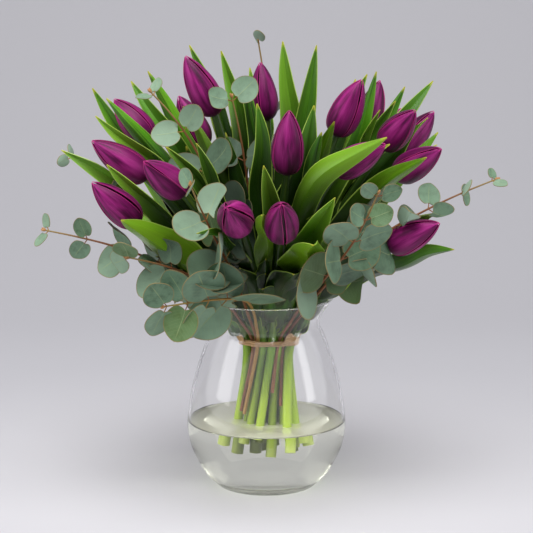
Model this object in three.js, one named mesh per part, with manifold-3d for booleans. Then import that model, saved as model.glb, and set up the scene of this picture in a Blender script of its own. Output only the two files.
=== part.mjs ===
// Purple tulips with round-leaved eucalyptus, tied into a bouquet and standing in a clear bulb vase.
// Millimetres, +Z up. The origin is the middle of the flat underside, and the bouquet's face looks along -Y.
import * as THREE from "three";
import { mergeVertices } from "three/addons/utils/BufferGeometryUtils.js";
import Module from "manifold-3d";

const wasm = await Module();
wasm.setup();

// ---- driving dimensions ----

// Outside of the glass as [radius, height] from the rounded foot up to the rim
const vase = {
  outline: [
    [45, 0], [49.5, 1.2], [59.5, 11], [69, 26], [76, 42], [79, 66], [74.5, 98],
    [66.5, 127], [57, 153], [52.5, 163], [56.5, 175], [65.5, 189],
  ],
  steps: 10,
  wall: 2.8,
  floor: 9,
  sides: 24,
};

const water = { level: 65, gap: 0.3, holeGap: 0.38 };

const tie = { height: 147, band: 4, thick: 2.2, gap: 0.35, sides: 18 };

// How the stems are gathered inside the tie: how far out each starts for its lean, and the pull inwards
const gather = { outPerRadian: 44, passes: 600, pullPasses: 500, pull: 0.997 };

// How stems that run too close above the tie are eased apart
const easing = { passes: 60, clearance: 2, push: 0.5, smoothing: 0.06 };

// Stems hang straight below the tie, turned and spread a little, and arch out over the rim above it
const stem = {
  radius: 4.4,
  sides: 5,
  foot: 47,
  footStep: 5,
  twist: 38,
  splay: 1.45,
  spacing: 0.3,
  rise: 62,
  riseOut: 0.25,
  approach: 0.42,
  spans: 6,
  sink: 0.3,
};
const twig = { radius: 1.8, tipRadius: 1.2, sides: 4, rise: 44, riseOut: 0.3, spans: 7, beyond: 24 };

// Everything above the tie spreads from here, and each plant keeps to the space nearest its own axis
const fanCentre = new THREE.Vector3(0, 0, 70);
const beyondTip = 160;
const cell = { margin: 1.15, knee: 0.62 };
const bloomGap = 2;
const bloomEnds = { below: 6, above: 4 };
const rimGap = 2.2;
const neckRoom = 2.6;
const rimArch = 7;

// A closed tulip. At each level along it: the three outer petals' half angle and radius, and the
// radius of the inner petals that show in the slits between them. All six end in tips of their own.
const bud = {
  level: [0, 0.15, 0.42, 0.72, 0.92],
  spread: [50, 52, 53, 48, 34],
  outer: [0.36, 0.84, 1, 0.8, 0.39],
  inner: [0.3, 0.68, 0.85, 0.67, 0.3],
  outerTip: { level: 1, radius: 0.15 },
  innerTip: { level: 0.975, radius: 0.09 },
};

const blade = {
  thick: 0.8,
  root: 132,
  rootStep: 12,
  rootWidth: 1.6,
  tipWidth: 1.4,
  standOff: 1.9,
  ahead: 30,
  siblingGap: 0.7,
  widest: 0.4,
  swing: 1.3,
  shoulder: 1.2,
  taper: 2.6,
  turnRoom: 0.55,
  beside: 0.6,
  hollow: 1.3,
  broad: 34,
  middle: 3,
  stations: [0, 0.08, 0.32, 0.56, 0.79, 1],
  fold: [0, 8, 16, 30, 28, 20],
};

// Leaves mostly face out from the bouquet, and more to its front and back than to its sides
const facing = { centre: new THREE.Vector3(0, 0, 230), broadside: 0.9 };

// Round leaves stand in pairs along the outer part of a twig
const roundLeaf = { thick: 0.75, points: 6, arc: 300, petiole: 2.2, sink: 0.2, cup: 0.1, rootWidth: 0.9 };
const pairing = {
  first: 0.5,
  last: 0.985,
  step: 0.02,
  forward: 0.5,
  wander: 12,
  lean: 0.3,
  leanWander: 0.35,
  size: [0.88, 1.08],
};

// One entry for each tulip: the bloom from its base to its tip, its width and turn, then its leaves.
// A leaf is [tip x, y, z, width].
const tulips = [
  { base: [-49, -10, 370], tip: [-78, -15, 427], width: 33, turn: 20,
    leaves: [[-75, 14, 436, 24], [-44, 4, 431, 23], [-84, -50, 378, 23]] },
  { base: [0, 36, 361], tip: [-6, 40, 419], width: 30, turn: 70,
    leaves: [[-21, 20, 406, 22], [-17, 66, 412, 22], [16, 40, 439, 27]] },
  { base: [19, -62, 318], tip: [21, -74, 379], width: 33, turn: 30,
    leaves: [[-9, -58, 384, 26], [46, -34, 381, 34], [51, -78, 359, 24]] },
  { base: [67, -5, 350], tip: [91, -20, 405], width: 34, turn: 0,
    leaves: [[48, 18, 436, 27], [64, -44, 366, 24], [98, 12, 408, 24]] },
  { base: [97, 46, 345], tip: [114, 58, 400], width: 30, turn: 40,
    leaves: [[108, 26, 410, 22], [90, 74, 400, 24]] },
  { base: [114, 2, 338], tip: [142, -28, 376], width: 32, turn: 10,
    leaves: [[126, 12, 382, 24], [156, -8, 367, 24], [108, -26, 376, 20]] },
  { base: [133, 45, 325], tip: [169, 58, 369], width: 30, turn: 60,
    leaves: [[169, 78, 398, 27], [170, 30, 350, 22]] },
  { base: [125, -20, 312], tip: [165, -55, 342], width: 32, turn: 25,
    leaves: [[149, -72, 335, 29], [164, -20, 342, 24]] },
  { base: [64, -75, 322], tip: [109, -100, 350], width: 31, turn: 50,
    leaves: [[108, -124, 358, 37], [116, -58, 346, 22], [58, -118, 256, 32]] },
  { base: [118, -42, 246], tip: [162, -75, 274], width: 32, turn: 0,
    leaves: [[162, -48, 288, 27], [178, -58, 246, 27], [80, -96, 218, 32]] },
  { base: [-113, 5, 343], tip: [-149, 12, 384], width: 32, turn: 15,
    leaves: [[-171, 22, 394, 24], [-154, -12, 386, 22], [-134, 36, 400, 24]] },
  { base: [-115, -22, 310], tip: [-167, -30, 347], width: 33, turn: 45,
    leaves: [[-200, -14, 335, 29], [-165, -8, 369, 24]] },
  { base: [-78, -72, 302], tip: [-112, -106, 335], width: 32, turn: 5,
    leaves: [[-92, -88, 346, 22], [-62, -80, 350, 24]] },
  { base: [-121, -58, 271], tip: [-163, -75, 312], width: 33, turn: 30,
    leaves: [[-133, -108, 281, 46], [-150, -60, 327, 24]] },
  { base: [-24, -102, 275], tip: [-35, -158, 299], width: 35, turn: 20,
    leaves: [[0, -162, 292, 32], [-66, -146, 272, 29]] },
  { base: [14, -104, 266], tip: [13, -158, 302], width: 34, turn: 80,
    leaves: [[-3, -112, 332, 24], [66, -132, 305, 37], [42, -136, 262, 44]] },
  { base: [-62, 38, 334], tip: [-88, 50, 385], width: 31, turn: 65,
    leaves: [[-117, 32, 410, 24], [-58, 66, 398, 24]] },
  { base: [108, 90, 318], tip: [140, 114, 368], width: 31, turn: 35,
    leaves: [[141, 84, 392, 24], [120, 126, 366, 27]] },
  { base: [-17, 78, 336], tip: [-27, 98, 393], width: 32, turn: 10,
    leaves: [[0, 120, 386, 27], [-52, 92, 384, 24]] },
  { base: [48, 112, 262], tip: [75, 152, 304], width: 33, turn: 55,
    leaves: [[96, 128, 322, 29], [104, 150, 268, 32]] },
  { base: [-80, 95, 262], tip: [-114, 128, 302], width: 33, turn: 15,
    leaves: [[-140, 96, 318, 29], [-82, 138, 330, 27], [-150, 130, 262, 32]] },
  { base: [-12, 128, 240], tip: [-18, 178, 272], width: 33, turn: 40,
    leaves: [[-46, 156, 306, 29], [22, 176, 262, 32]] },
];

// One entry for each spray of eucalyptus: the points its twig passes, where its cut end hangs,
// the number of leaf pairs, the widths of its lowest and highest leaves, and the turn of the first pair.
// Leaves start at a share of the twig (from) where the usual one is too low, and the spray that hangs
// over the rim stands outside the bunch (outer).
const sprays = [
  { route: [[-109, -72, 249], [-163, -55, 257], [-212, -40, 262]],
    foot: 92, pairs: 4, size: [38, 14], turn: 20 },
  { route: [[-4, -92, 214], [-44, -118, 210], [-94, -116, 202]],
    foot: 75, pairs: 5, size: [44, 28], turn: 15, outer: true },
  { route: [[78, -110, 234], [87, -130, 271], [100, -136, 309]],
    foot: 98, pairs: 5, size: [42, 18], turn: 10 },
  { route: [[104, -88, 267], [160, -70, 301], [217, -50, 312]],
    foot: 84, pairs: 5, size: [38, 14], turn: 55 },
  { route: [[-47, -112, 262], [-62, -138, 296], [-68, -136, 316]],
    foot: 104, pairs: 3, size: [42, 20], turn: 70, from: 0.64 },
  { route: [[-56, -50, 339], [-78, -52, 376], [-109, -44, 394]],
    foot: 88, pairs: 4, size: [42, 16], turn: 15 },
  { route: [[9, 82, 366], [-2, 94, 416], [-9, 92, 441]],
    foot: 96, pairs: 3, size: [30, 14], turn: 50 },
  { route: [[-26, -20, 321], [-20, -30, 362], [-33, -30, 388]],
    foot: 80, pairs: 3, size: [44, 24], turn: 5 },
  { route: [[-72, -70, 232], [-102, -82, 238], [-130, -80, 242]],
    foot: 76, pairs: 3, size: [38, 24], turn: 40 },
  { route: [[-44, 96, 300], [-66, 142, 336], [-82, 172, 348]],
    foot: 102, pairs: 3, size: [42, 18], turn: 30 },
  { route: [[-134, 4, 292], [-172, 10, 322], [-194, 8, 329]],
    foot: 90, pairs: 3, size: [32, 14], turn: 25 },
  { route: [[8, 108, 300], [20, 150, 330], [34, 178, 344]],
    foot: 86, pairs: 3, size: [44, 20], turn: 55 },
];

// ---- finishes ----

const finish = {
  glass: { color: 0xdfe8e6, roughness: 0.03, metalness: 0 },
  water: { color: 0xd3dcc4, roughness: 0.02, metalness: 0 },
  raffia: { color: 0xb08d5e, roughness: 0.8, metalness: 0 },
  petal: { color: 0x6a1f55, roughness: 0.5, metalness: 0 },
  tulipGreen: { color: 0x4d8230, roughness: 0.5, metalness: 0 },
  eucalyptusGreen: { color: 0x5f7d66, roughness: 0.65, metalness: 0 },
};

// ---- small helpers ----

const vec = (point) => new THREE.Vector3(...point);
const radians = THREE.MathUtils.degToRad;
const between = (a, b, t) => a.clone().lerp(b, t);

// The same small variations every time
let seed = 7;
function chance(low, high) {
  seed = (seed * 16807) % 2147483647;
  return low + (high - low) * (seed / 2147483647);
}

function geometryOf(points, faces) {
  const geometry = new THREE.BufferGeometry();
  const flat = points.flatMap((p) => [p.x, p.y, p.z]);
  geometry.setAttribute("position", new THREE.Float32BufferAttribute(flat, 3));
  geometry.setIndex(faces.flat());
  return geometry;
}

// The sides and bottom of a stack of rings that all hold the same number of points
function cupFaces(rings) {
  const count = rings[0].length;
  const faces = [];
  for (let k = 0; k + 1 < rings.length; k++) {
    for (let i = 0; i < count; i++) {
      const a = k * count + i;
      const b = k * count + ((i + 1) % count);
      faces.push([a, b, b + count], [a, b + count, a + count]);
    }
  }
  for (let i = 1; i + 1 < count; i++) {
    faces.push([0, i + 1, i]);
  }
  return faces;
}

function skin(rings) {
  const faces = cupFaces(rings);
  const count = rings[0].length;
  const top = (rings.length - 1) * count;
  for (let i = 1; i + 1 < count; i++) {
    faces.push([top, top + i, top + i + 1]);
  }
  return geometryOf(rings.flat(), faces);
}

// A solid with its shared vertices merged and no collapsed faces, turned outward if need be
function solid(geometry) {
  const bare = new THREE.BufferGeometry();
  bare.setAttribute("position", geometry.attributes.position.clone());
  bare.setIndex(geometry.index.clone());
  const merged = mergeVertices(bare, 1e-3);
  const corner = merged.attributes.position;
  const index = merged.index.array;
  const kept = [];
  let volume = 0;
  for (let i = 0; i < index.length; i += 3) {
    const [a, b, c] = [index[i], index[i + 1], index[i + 2]];
    if (a !== b && b !== c && c !== a) {
      kept.push(a, b, c);
      const [p, q, r] = [a, b, c].map((n) => new THREE.Vector3().fromBufferAttribute(corner, n));
      volume += p.dot(q.cross(r));
    }
  }
  if (volume < 0) {
    kept.reverse();
  }
  const vertProperties = new Float32Array(corner.array);
  return new wasm.Manifold(new wasm.Mesh({ numProp: 3, vertProperties, triVerts: new Uint32Array(kept) }));
}

function join(solids) {
  return solids.reduce((whole, piece) => whole.add(piece));
}

// Only the largest body of a solid, without any loose scrap
function largestBody(whole) {
  const bodies = whole.decompose();
  return bodies.reduce((best, body) => (body.volume() > best.volume() ? body : best));
}

function shapeOf(whole) {
  const { vertProperties, triVerts } = whole.getMesh();
  const geometry = new THREE.BufferGeometry();
  geometry.setAttribute("position", new THREE.Float32BufferAttribute(vertProperties, 3));
  geometry.setIndex(new THREE.BufferAttribute(triVerts, 1));
  geometry.computeVertexNormals();
  return geometry;
}

const bouquet = new THREE.Group();

function addPiece(name, whole, look) {
  const mesh = new THREE.Mesh(shapeOf(whole), new THREE.MeshStandardMaterial(look));
  mesh.name = name;
  bouquet.add(mesh);
}

// ---- glass and water ----

const outline = new THREE.SplineCurve(vase.outline.slice(1).map((p) => new THREE.Vector2(...p)));
const outside = outline.getSpacedPoints(vase.steps);
const inside = outside.map((p, i) => {
  const tangent = outline.getTangentAt(i / vase.steps);
  return new THREE.Vector2(p.x - tangent.y * vase.wall, p.y + tangent.x * vase.wall);
});

function radiusAt(profile, z) {
  const k = Math.max(1, profile.findIndex((p) => p.y >= z));
  const [low, high] = [profile[k - 1], profile[k]];
  return low.x + ((high.x - low.x) * (z - low.y)) / (high.y - low.y);
}

const rimHeight = vase.outline.at(-1)[1];

function lathe(profile) {
  const points = profile.map(([x, y]) => new THREE.Vector2(x, y));
  return solid(new THREE.LatheGeometry(points, vase.sides).rotateX(Math.PI / 2));
}

function makeVase() {
  const hollow = inside.filter((p) => p.y > vase.floor + 1 && p.y < rimHeight).reverse();
  return lathe([
    [0, 0],
    vase.outline[0],
    ...outside.map((p) => [p.x, p.y]),
    [outside.at(-1).x - vase.wall, rimHeight],
    ...hollow.map((p) => [p.x, p.y]),
    [radiusAt(inside, vase.floor + 1) - 2, vase.floor],
    [0, vase.floor],
  ]);
}

function makeWater(plants) {
  const wet = inside.filter((p) => p.y > vase.floor + 3 && p.y < water.level - 3);
  const body = lathe([
    [0, vase.floor + water.gap],
    [radiusAt(inside, vase.floor + 1) - 2.5, vase.floor + water.gap],
    ...wet.map((p) => [p.x - water.gap, p.y]),
    [radiusAt(inside, water.level) - water.gap, water.level],
    [0, water.level],
  ]);
  const holes = plants.map((plant) => {
    const down = plant.foot.clone().sub(plant.tiePoint).normalize();
    const start = plant.foot.clone().addScaledVector(down, water.holeGap);
    const wide = plant.radius + water.holeGap;
    return tube([start, plant.tiePoint], [wide, wide], stem.sides);
  });
  return body.subtract(join(holes));
}

// ---- stems ----

// A tube round a row of points, square at its end to a given direction where there is one
function tube(points, radii, sides, ending) {
  const rings = [];
  let across = new THREE.Vector3(1, 0, 0);
  points.forEach((point, k) => {
    const before = points[Math.max(0, k - 1)];
    const after = points[Math.min(points.length - 1, k + 1)];
    const square = ending && k === points.length - 1;
    const along = square ? ending : after.clone().sub(before).normalize();
    across = across.clone().addScaledVector(along, -across.dot(along)).normalize();
    const other = along.clone().cross(across);
    const ring = [];
    for (let i = 0; i < sides; i++) {
      const angle = (i / sides) * 2 * Math.PI;
      const spoke = across.clone().multiplyScalar(Math.cos(angle)).addScaledVector(other, Math.sin(angle));
      ring.push(point.clone().addScaledVector(spoke, radii[k]));
    }
    rings.push(ring);
  });
  return solid(skin(rings));
}

// Stems crowd together inside the tie: each is drawn to the middle and pushed off its neighbours
function packAtTie(plants) {
  for (const plant of plants) {
    const head = plant.head;
    const lean = Math.atan2(Math.hypot(head.x, head.y), head.z - fanCentre.z);
    const azimuth = Math.atan2(head.y, head.x);
    const out = gather.outPerRadian * lean;
    plant.tiePoint = new THREE.Vector3(out * Math.cos(azimuth), out * Math.sin(azimuth), tie.height);
  }
  for (let pass = 0; pass < gather.passes; pass++) {
    for (const plant of plants) {
      if (pass < gather.pullPasses) {
        plant.tiePoint.x *= gather.pull;
        plant.tiePoint.y *= gather.pull;
      }
      for (const other of plants) {
        if (other !== plant) {
          const apart = plant.tiePoint.clone().sub(other.tiePoint);
          const need = plant.radius + other.radius + stem.spacing;
          const lack = need - apart.length();
          if (lack > 0) {
            apart.setLength(lack / 2);
            plant.tiePoint.add(apart);
            other.tiePoint.sub(apart);
          }
        }
      }
    }
  }
}

function setFoot(plant, depth) {
  const turned = plant.tiePoint.clone().applyAxisAngle(new THREE.Vector3(0, 0, 1), radians(-stem.twist));
  const full = new THREE.Vector3(turned.x * stem.splay, turned.y * stem.splay, stem.foot);
  const share = (tie.height - depth) / (tie.height - stem.foot);
  plant.foot = between(plant.tiePoint, full, share);
}

// The arch from the tie to the bloom, then straight on through the bloom and past it
function tulipAxis(plant) {
  const out = vec([plant.tiePoint.x, plant.tiePoint.y, 0]).multiplyScalar(stem.riseOut);
  const rise = plant.tiePoint.clone().add(out).add(new THREE.Vector3(0, 0, stem.rise));
  const length = plant.base.distanceTo(rise);
  const approach = plant.base.clone().addScaledVector(plant.lean, -stem.approach * length);
  const arch = new THREE.CubicBezierCurve3(plant.tiePoint, rise, approach, plant.base);
  return arch.getPoints(stem.spans);
}

function sprayAxis(plant) {
  const out = vec([plant.tiePoint.x, plant.tiePoint.y, 0]).multiplyScalar(twig.riseOut);
  const neck = plant.tiePoint.clone().add(out).add(new THREE.Vector3(0, 0, twig.rise));
  const route = [plant.tiePoint, neck, ...plant.route.map(vec)];
  return new THREE.CatmullRomCurve3(route, false, "centripetal").getPoints(twig.spans);
}

// The point of a plant's axis at a given distance from the middle of the fan
function axisAt(plant, distance) {
  const { line, reach } = plant;
  let k = 1;
  while (k < line.length - 1 && reach[k] < distance) {
    k++;
  }
  const share = (distance - reach[k - 1]) / (reach[k] - reach[k - 1]);
  return between(line[k - 1], line[k], share);
}

function measure(plant) {
  plant.line = plant.points.concat(plant.extra);
  plant.reach = plant.line.map((p) => p.distanceTo(fanCentre));
  plant.ends = plant.width ? Infinity : plant.reach[plant.points.length - 1] + twig.beyond;
}

// How thick the plant is at that distance: its bloom, or else its stem
function girth(plant, distance) {
  if (!plant.width) {
    return plant.radius;
  }
  const from = plant.base.distanceTo(fanCentre) - bloomEnds.below;
  const to = plant.tipPoint.distanceTo(fanCentre) + bloomEnds.above;
  const share = (distance - from) / (to - from);
  const swell = share > 0 && share < 1 ? Math.min(1, 5 * share, 3 * (1 - share)) : 0;
  return plant.radius + (plant.width / 2 + bloomGap - plant.radius) * swell;
}

function insideNeck(point, room) {
  if (point.z < rimHeight + 6) {
    const most = radiusAt(inside, Math.min(point.z, rimHeight - 1)) - room;
    const out = Math.hypot(point.x, point.y);
    if (out > most) {
      point.x *= most / out;
      point.y *= most / out;
    }
  }
}

// A stem that leans out low passes well over the rim
function overRim(point, radius) {
  const out = Math.hypot(point.x, point.y);
  const rim = vase.outline.at(-1)[0];
  if (out > rim - 10 && out < rim + 16) {
    point.z = Math.max(point.z, rimHeight + radius + rimArch);
  }
}

// Stems that run too close are eased apart between the tie and their blooms
function easeApart(plants) {
  for (let pass = 0; pass < easing.passes; pass++) {
    plants.forEach(measure);
    for (const plant of plants) {
      for (let k = 1; k + 1 < plant.points.length; k++) {
        const point = plant.points[k];
        const distance = point.distanceTo(fanCentre);
        for (const other of plants) {
          if (other !== plant) {
            const apart = point.clone().sub(axisAt(other, distance));
            const lack = plant.radius + girth(other, distance) + easing.clearance - apart.length();
            if (lack > 0) {
              point.addScaledVector(apart.normalize(), easing.push * lack);
            }
          }
        }
        const middle = between(plant.points[k - 1], plant.points[k + 1], 0.5);
        point.lerp(middle, easing.smoothing);
        insideNeck(point, plant.radius + neckRoom);
        overRim(point, plant.radius);
      }
    }
  }
  plants.forEach(measure);
}

// ---- keeping clear of neighbours ----

function keepToCell(point, plant) {
  const distance = point.distanceTo(fanCentre);
  const own = axisAt(plant, distance);
  const offset = point.clone().sub(own);
  const length = offset.length();
  if (length < 0.01) {
    return;
  }
  offset.divideScalar(length);
  const ownGirth = girth(plant, distance);
  let limit = 400;
  for (const other of plants) {
    if (other !== plant && distance < other.ends) {
      const apart = axisAt(other, distance).sub(own);
      const along = apart.dot(offset);
      if (along > 0) {
        const weight = ownGirth ** 2 - girth(other, distance) ** 2;
        limit = Math.min(limit, (apart.lengthSq() + weight) / (2 * along));
      }
    }
  }
  limit = Math.max(limit - cell.margin, 0.5);
  const knee = cell.knee * limit;
  if (length > knee) {
    const squeezed = knee + (limit - knee) * (1 - Math.exp(-(length - knee) / (limit - knee)));
    point.copy(own).addScaledVector(offset, squeezed);
    point.sub(fanCentre).setLength(distance).add(fanCentre);
  }
}

function budRadius(share) {
  const level = [...bud.level, bud.outerTip.level];
  const radius = [...bud.outer, bud.outerTip.radius];
  const k = Math.min(level.length - 1, Math.max(1, level.findIndex((l) => l >= share)));
  return THREE.MathUtils.mapLinear(share, level[k - 1], level[k], radius[k - 1], radius[k]);
}

function keepOffBlooms(point) {
  for (const plant of tulips) {
    const from = point.clone().sub(plant.base);
    const share = from.dot(plant.lean) / plant.long;
    if (share > -0.08 && share < 1.06) {
      const off = from.addScaledVector(plant.lean, -share * plant.long);
      const near = THREE.MathUtils.clamp(share, 0.02, 0.98);
      const need = budRadius(near) * (plant.width / 2) + bloomGap;
      if (off.length() < need) {
        point.addScaledVector(off.clone().normalize(), need - off.length());
      }
    }
  }
}

function keepOffGlass(point) {
  const out = Math.hypot(point.x, point.y);
  const rim = vase.outline.at(-1)[0];
  if (point.z < rimHeight + rimGap && out > 40) {
    const mid = radiusAt(outside, Math.min(point.z, rimHeight - 1)) - vase.wall / 2;
    if (point.z > rimHeight - 8 && Math.abs(out - rim) < 14) {
      point.z = rimHeight + rimGap;
    } else if (out < mid) {
      insideNeck(point, rimGap);
    } else {
      const least = radiusAt(outside, Math.max(2, Math.min(point.z, rimHeight - 1))) + rimGap;
      if (out < least) {
        point.x *= least / out;
        point.y *= least / out;
      }
    }
  }
}

function keepOffOwnStem(point, plant) {
  const own = axisAt(plant, point.distanceTo(fanCentre));
  const off = point.clone().sub(own);
  const need = plant.radius + blade.standOff;
  if (off.length() < need) {
    point.copy(own).addScaledVector(off.normalize(), need);
  }
}

function settle(point, plant) {
  if (!plant.outer) {
    keepToCell(point, plant);
  }
  keepOffOwnStem(point, plant);
  keepOffBlooms(point);
  keepOffGlass(point);
  return point;
}

// ---- blooms ----

// Rings of twelve points: three round each outer petal and one down in each slit
function makeBloom(bloom) {
  const half = bloom.width / 2;
  const spot = (angle, radius, level) => {
    const turn = radians(bloom.turn + angle);
    const out = radius * half;
    return new THREE.Vector3(out * Math.cos(turn), out * Math.sin(turn), level * bloom.long);
  };
  const rings = bud.level.map((level, k) => {
    const ring = [];
    for (const middle of [0, 120, 240]) {
      for (const side of [-1, 0, 1]) {
        ring.push(spot(middle + side * bud.spread[k], bud.outer[k], level));
      }
      ring.push(spot(middle + 60, bud.inner[k], level));
    }
    return ring;
  });
  const faces = cupFaces(rings);
  const points = rings.flat();
  const count = rings[0].length;
  const top = points.length - count;
  const centre = points.push(spot(0, 0, bud.level.at(-1))) - 1;
  [0, 1, 2].forEach((k) => {
    const [a, b, c, slit] = [0, 1, 2, 3].map((n) => top + 4 * k + n);
    const next = top + ((4 * k + 4) % count);
    const tip = points.push(spot(120 * k, bud.outerTip.radius, bud.outerTip.level)) - 1;
    const small = points.push(spot(120 * k + 60, bud.innerTip.radius, bud.innerTip.level)) - 1;
    faces.push([a, b, tip], [b, c, tip], [c, centre, tip], [centre, a, tip]);
    faces.push([c, slit, small], [slit, next, small], [next, centre, small], [centre, c, small]);
  });
  const upright = new THREE.Quaternion().setFromUnitVectors(new THREE.Vector3(0, 0, 1), bloom.lean);
  const place = new THREE.Matrix4().compose(bloom.base, upright, new THREE.Vector3(1, 1, 1));
  return solid(geometryOf(points, faces)).transform(place.elements);
}

// ---- tulip leaves ----

// A thin blade over a grid of points, split into triangles alike on both faces
function bladeSolid(grid, thick) {
  const rows = grid.length;
  const columns = grid[0].length;
  const normalAt = (k, j) => {
    const along = grid[Math.min(k + 1, rows - 1)][j].clone().sub(grid[Math.max(k - 1, 0)][j]);
    const across = grid[k][Math.min(j + 1, columns - 1)].clone().sub(grid[k][Math.max(j - 1, 0)]);
    return along.cross(across).normalize();
  };
  const shifted = (side) =>
    grid.flatMap((row, k) => row.map((p, j) => p.clone().addScaledVector(normalAt(k, j), (side * thick) / 2)));
  const points = [...shifted(1), ...shifted(-1)];
  const under = rows * columns;
  const faces = [];
  for (let k = 0; k + 1 < rows; k++) {
    for (let j = 0; j + 1 < columns; j++) {
      const [a, b] = [k * columns + j, k * columns + j + 1];
      const [c, d] = [b + columns, a + columns];
      faces.push([a, c, b], [a, d, c]);
      faces.push([a + under, b + under, c + under], [a + under, c + under, d + under]);
    }
  }
  const border = [];
  for (let j = 0; j + 1 < columns; j++) {
    border.push(j);
  }
  for (let k = 0; k + 1 < rows; k++) {
    border.push(k * columns + columns - 1);
  }
  for (let j = columns - 1; j > 0; j--) {
    border.push((rows - 1) * columns + j);
  }
  for (let k = rows - 1; k > 0; k--) {
    border.push(k * columns);
  }
  border.forEach((a, i) => {
    const b = border[(i + 1) % border.length];
    faces.push([a, b, b + under], [a, b + under, a + under]);
  });
  return solid(geometryOf(points, faces));
}

function bladeHalfWidth(share, width) {
  const { widest, rootWidth, tipWidth } = blade;
  if (share < widest) {
    const ease = Math.sin((share / widest) ** blade.shoulder * (Math.PI / 2));
    return (rootWidth + (width - rootWidth) * ease) / 2;
  }
  const taper = 1 - ((share - widest) / (1 - widest)) ** blade.taper;
  return (tipWidth + (width - tipWidth) * taper) / 2;
}

// A leaf's midrib follows its stem and swings out from it, past the bloom, to the tip. Where the blade
// stands sideways to its stem the midrib runs further out, so that its near edge clears the stem.
function leafSpine(plant, [x, y, z, width], order) {
  const tip = vec([x, y, z]);
  const tipReach = tip.distanceTo(fanCentre);
  const swing = tip.clone().sub(axisAt(plant, tipReach));
  const spread = swing.length();
  swing.normalize();
  const root = blade.root + blade.rootStep * order;
  const line = blade.stations.map((share) => {
    const distance = root + (tipReach - root) * share;
    const own = axisAt(plant, distance);
    const widest = Math.max(girth(plant, distance), girth(plant, distance + blade.ahead));
    const sideways = Math.sin(outOfBouquet(own).angleTo(swing));
    const beside = blade.beside * sideways * bladeHalfWidth(share, width);
    const clear = (widest + blade.standOff + beside) * Math.min(1, share / blade.stations[1]);
    return own.addScaledVector(swing, Math.max(spread * share ** blade.swing, clear));
  });
  line[line.length - 1] = tip;
  const out = line.map((p) => p.distanceTo(axisAt(plant, p.distanceTo(fanCentre))));
  return { line, swing, out, reach: line.map((p) => p.distanceTo(fanCentre)) };
}

// Which way out of the bouquet the round leaves and the backs of the blades face
function outOfBouquet(point) {
  const away = point.clone().sub(facing.centre).normalize();
  away.y += point.y < 0 ? -facing.broadside : facing.broadside;
  return away;
}

// A blade faces its stem where it starts, and turns its back outwards as far as there is room for it
function bladeFacings(plant, { line, swing, out, reach }, width) {
  const last = line.length - 1;
  const frames = line.map((centre, k) => {
    const along = line[Math.min(k + 1, last)].clone().sub(line[Math.max(k - 1, 0)]).normalize();
    const flat = (v) => v.addScaledVector(along, -v.dot(along)).normalize();
    return { along, inward: flat(swing.clone().negate()), wanted: flat(outOfBouquet(centre)) };
  });
  const middle = frames[blade.middle];
  const way = middle.inward.dot(middle.wanted) < 0 ? -1 : 1;
  return frames.map(({ along, inward, wanted }, k) => {
    wanted.multiplyScalar(way);
    const full = Math.atan2(along.dot(inward.clone().cross(wanted)), inward.dot(wanted));
    const room = (out[k] - blade.turnRoom * girth(plant, reach[k])) / bladeHalfWidth(blade.stations[k], width);
    const most = Math.asin(THREE.MathUtils.clamp(room, 0, 1));
    inward.applyAxisAngle(along, THREE.MathUtils.clamp(full, -most, most));
    return { inward, across: along.clone().cross(inward) };
  });
}

// Two leaves of one stem share the space between their midribs
function keepFromSiblings(point, own, siblings) {
  const distance = point.distanceTo(fanCentre);
  const centre = axisAt(own, distance);
  const offset = point.clone().sub(centre);
  const length = offset.length();
  offset.normalize();
  for (const other of siblings) {
    if (other !== own && distance > other.reach[0]) {
      const apart = axisAt(other, distance).sub(centre);
      const along = apart.dot(offset);
      const limit = Math.max(0.5, apart.lengthSq() / (2 * along) - blade.siblingGap);
      if (along > 0 && length > limit) {
        point.copy(centre).addScaledVector(offset, limit);
      }
    }
  }
}

function makeLeaf(plant, order, spines) {
  const width = plant.leaves[order][3];
  const columns = width > blade.broad ? [-1, -0.5, 0, 0.5, 1] : [-1, 0, 1];
  const facings = bladeFacings(plant, spines[order], width);
  const grid = spines[order].line.map((centre, k) => {
    const { inward, across } = facings[k];
    if (k === 0) {
      return columns.map((column) => centre.clone().addScaledVector(across, (column * blade.rootWidth) / 2));
    }
    const half = bladeHalfWidth(blade.stations[k], width);
    const fold = radians(blade.fold[k]);
    return columns.map((column) => {
      const point = centre.clone().addScaledVector(across, column * half * Math.cos(fold));
      point.addScaledVector(inward, Math.abs(column) ** blade.hollow * half * Math.sin(fold));
      keepFromSiblings(point, spines[order], spines);
      return settle(point, plant);
    });
  });
  return bladeSolid(grid, blade.thick);
}

function makeTulipStem(plant) {
  const top = plant.points.at(-1).clone().addScaledVector(plant.lean, -stem.sink);
  const course = [plant.foot, ...plant.points.slice(0, -1), top];
  const body = tube(course, course.map(() => plant.radius), stem.sides, plant.lean);
  const spines = plant.leaves.map((leaf, order) => leafSpine(plant, leaf, order));
  return join([body, ...spines.map((spine, order) => makeLeaf(plant, order, spines))]);
}

// ---- eucalyptus ----

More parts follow.
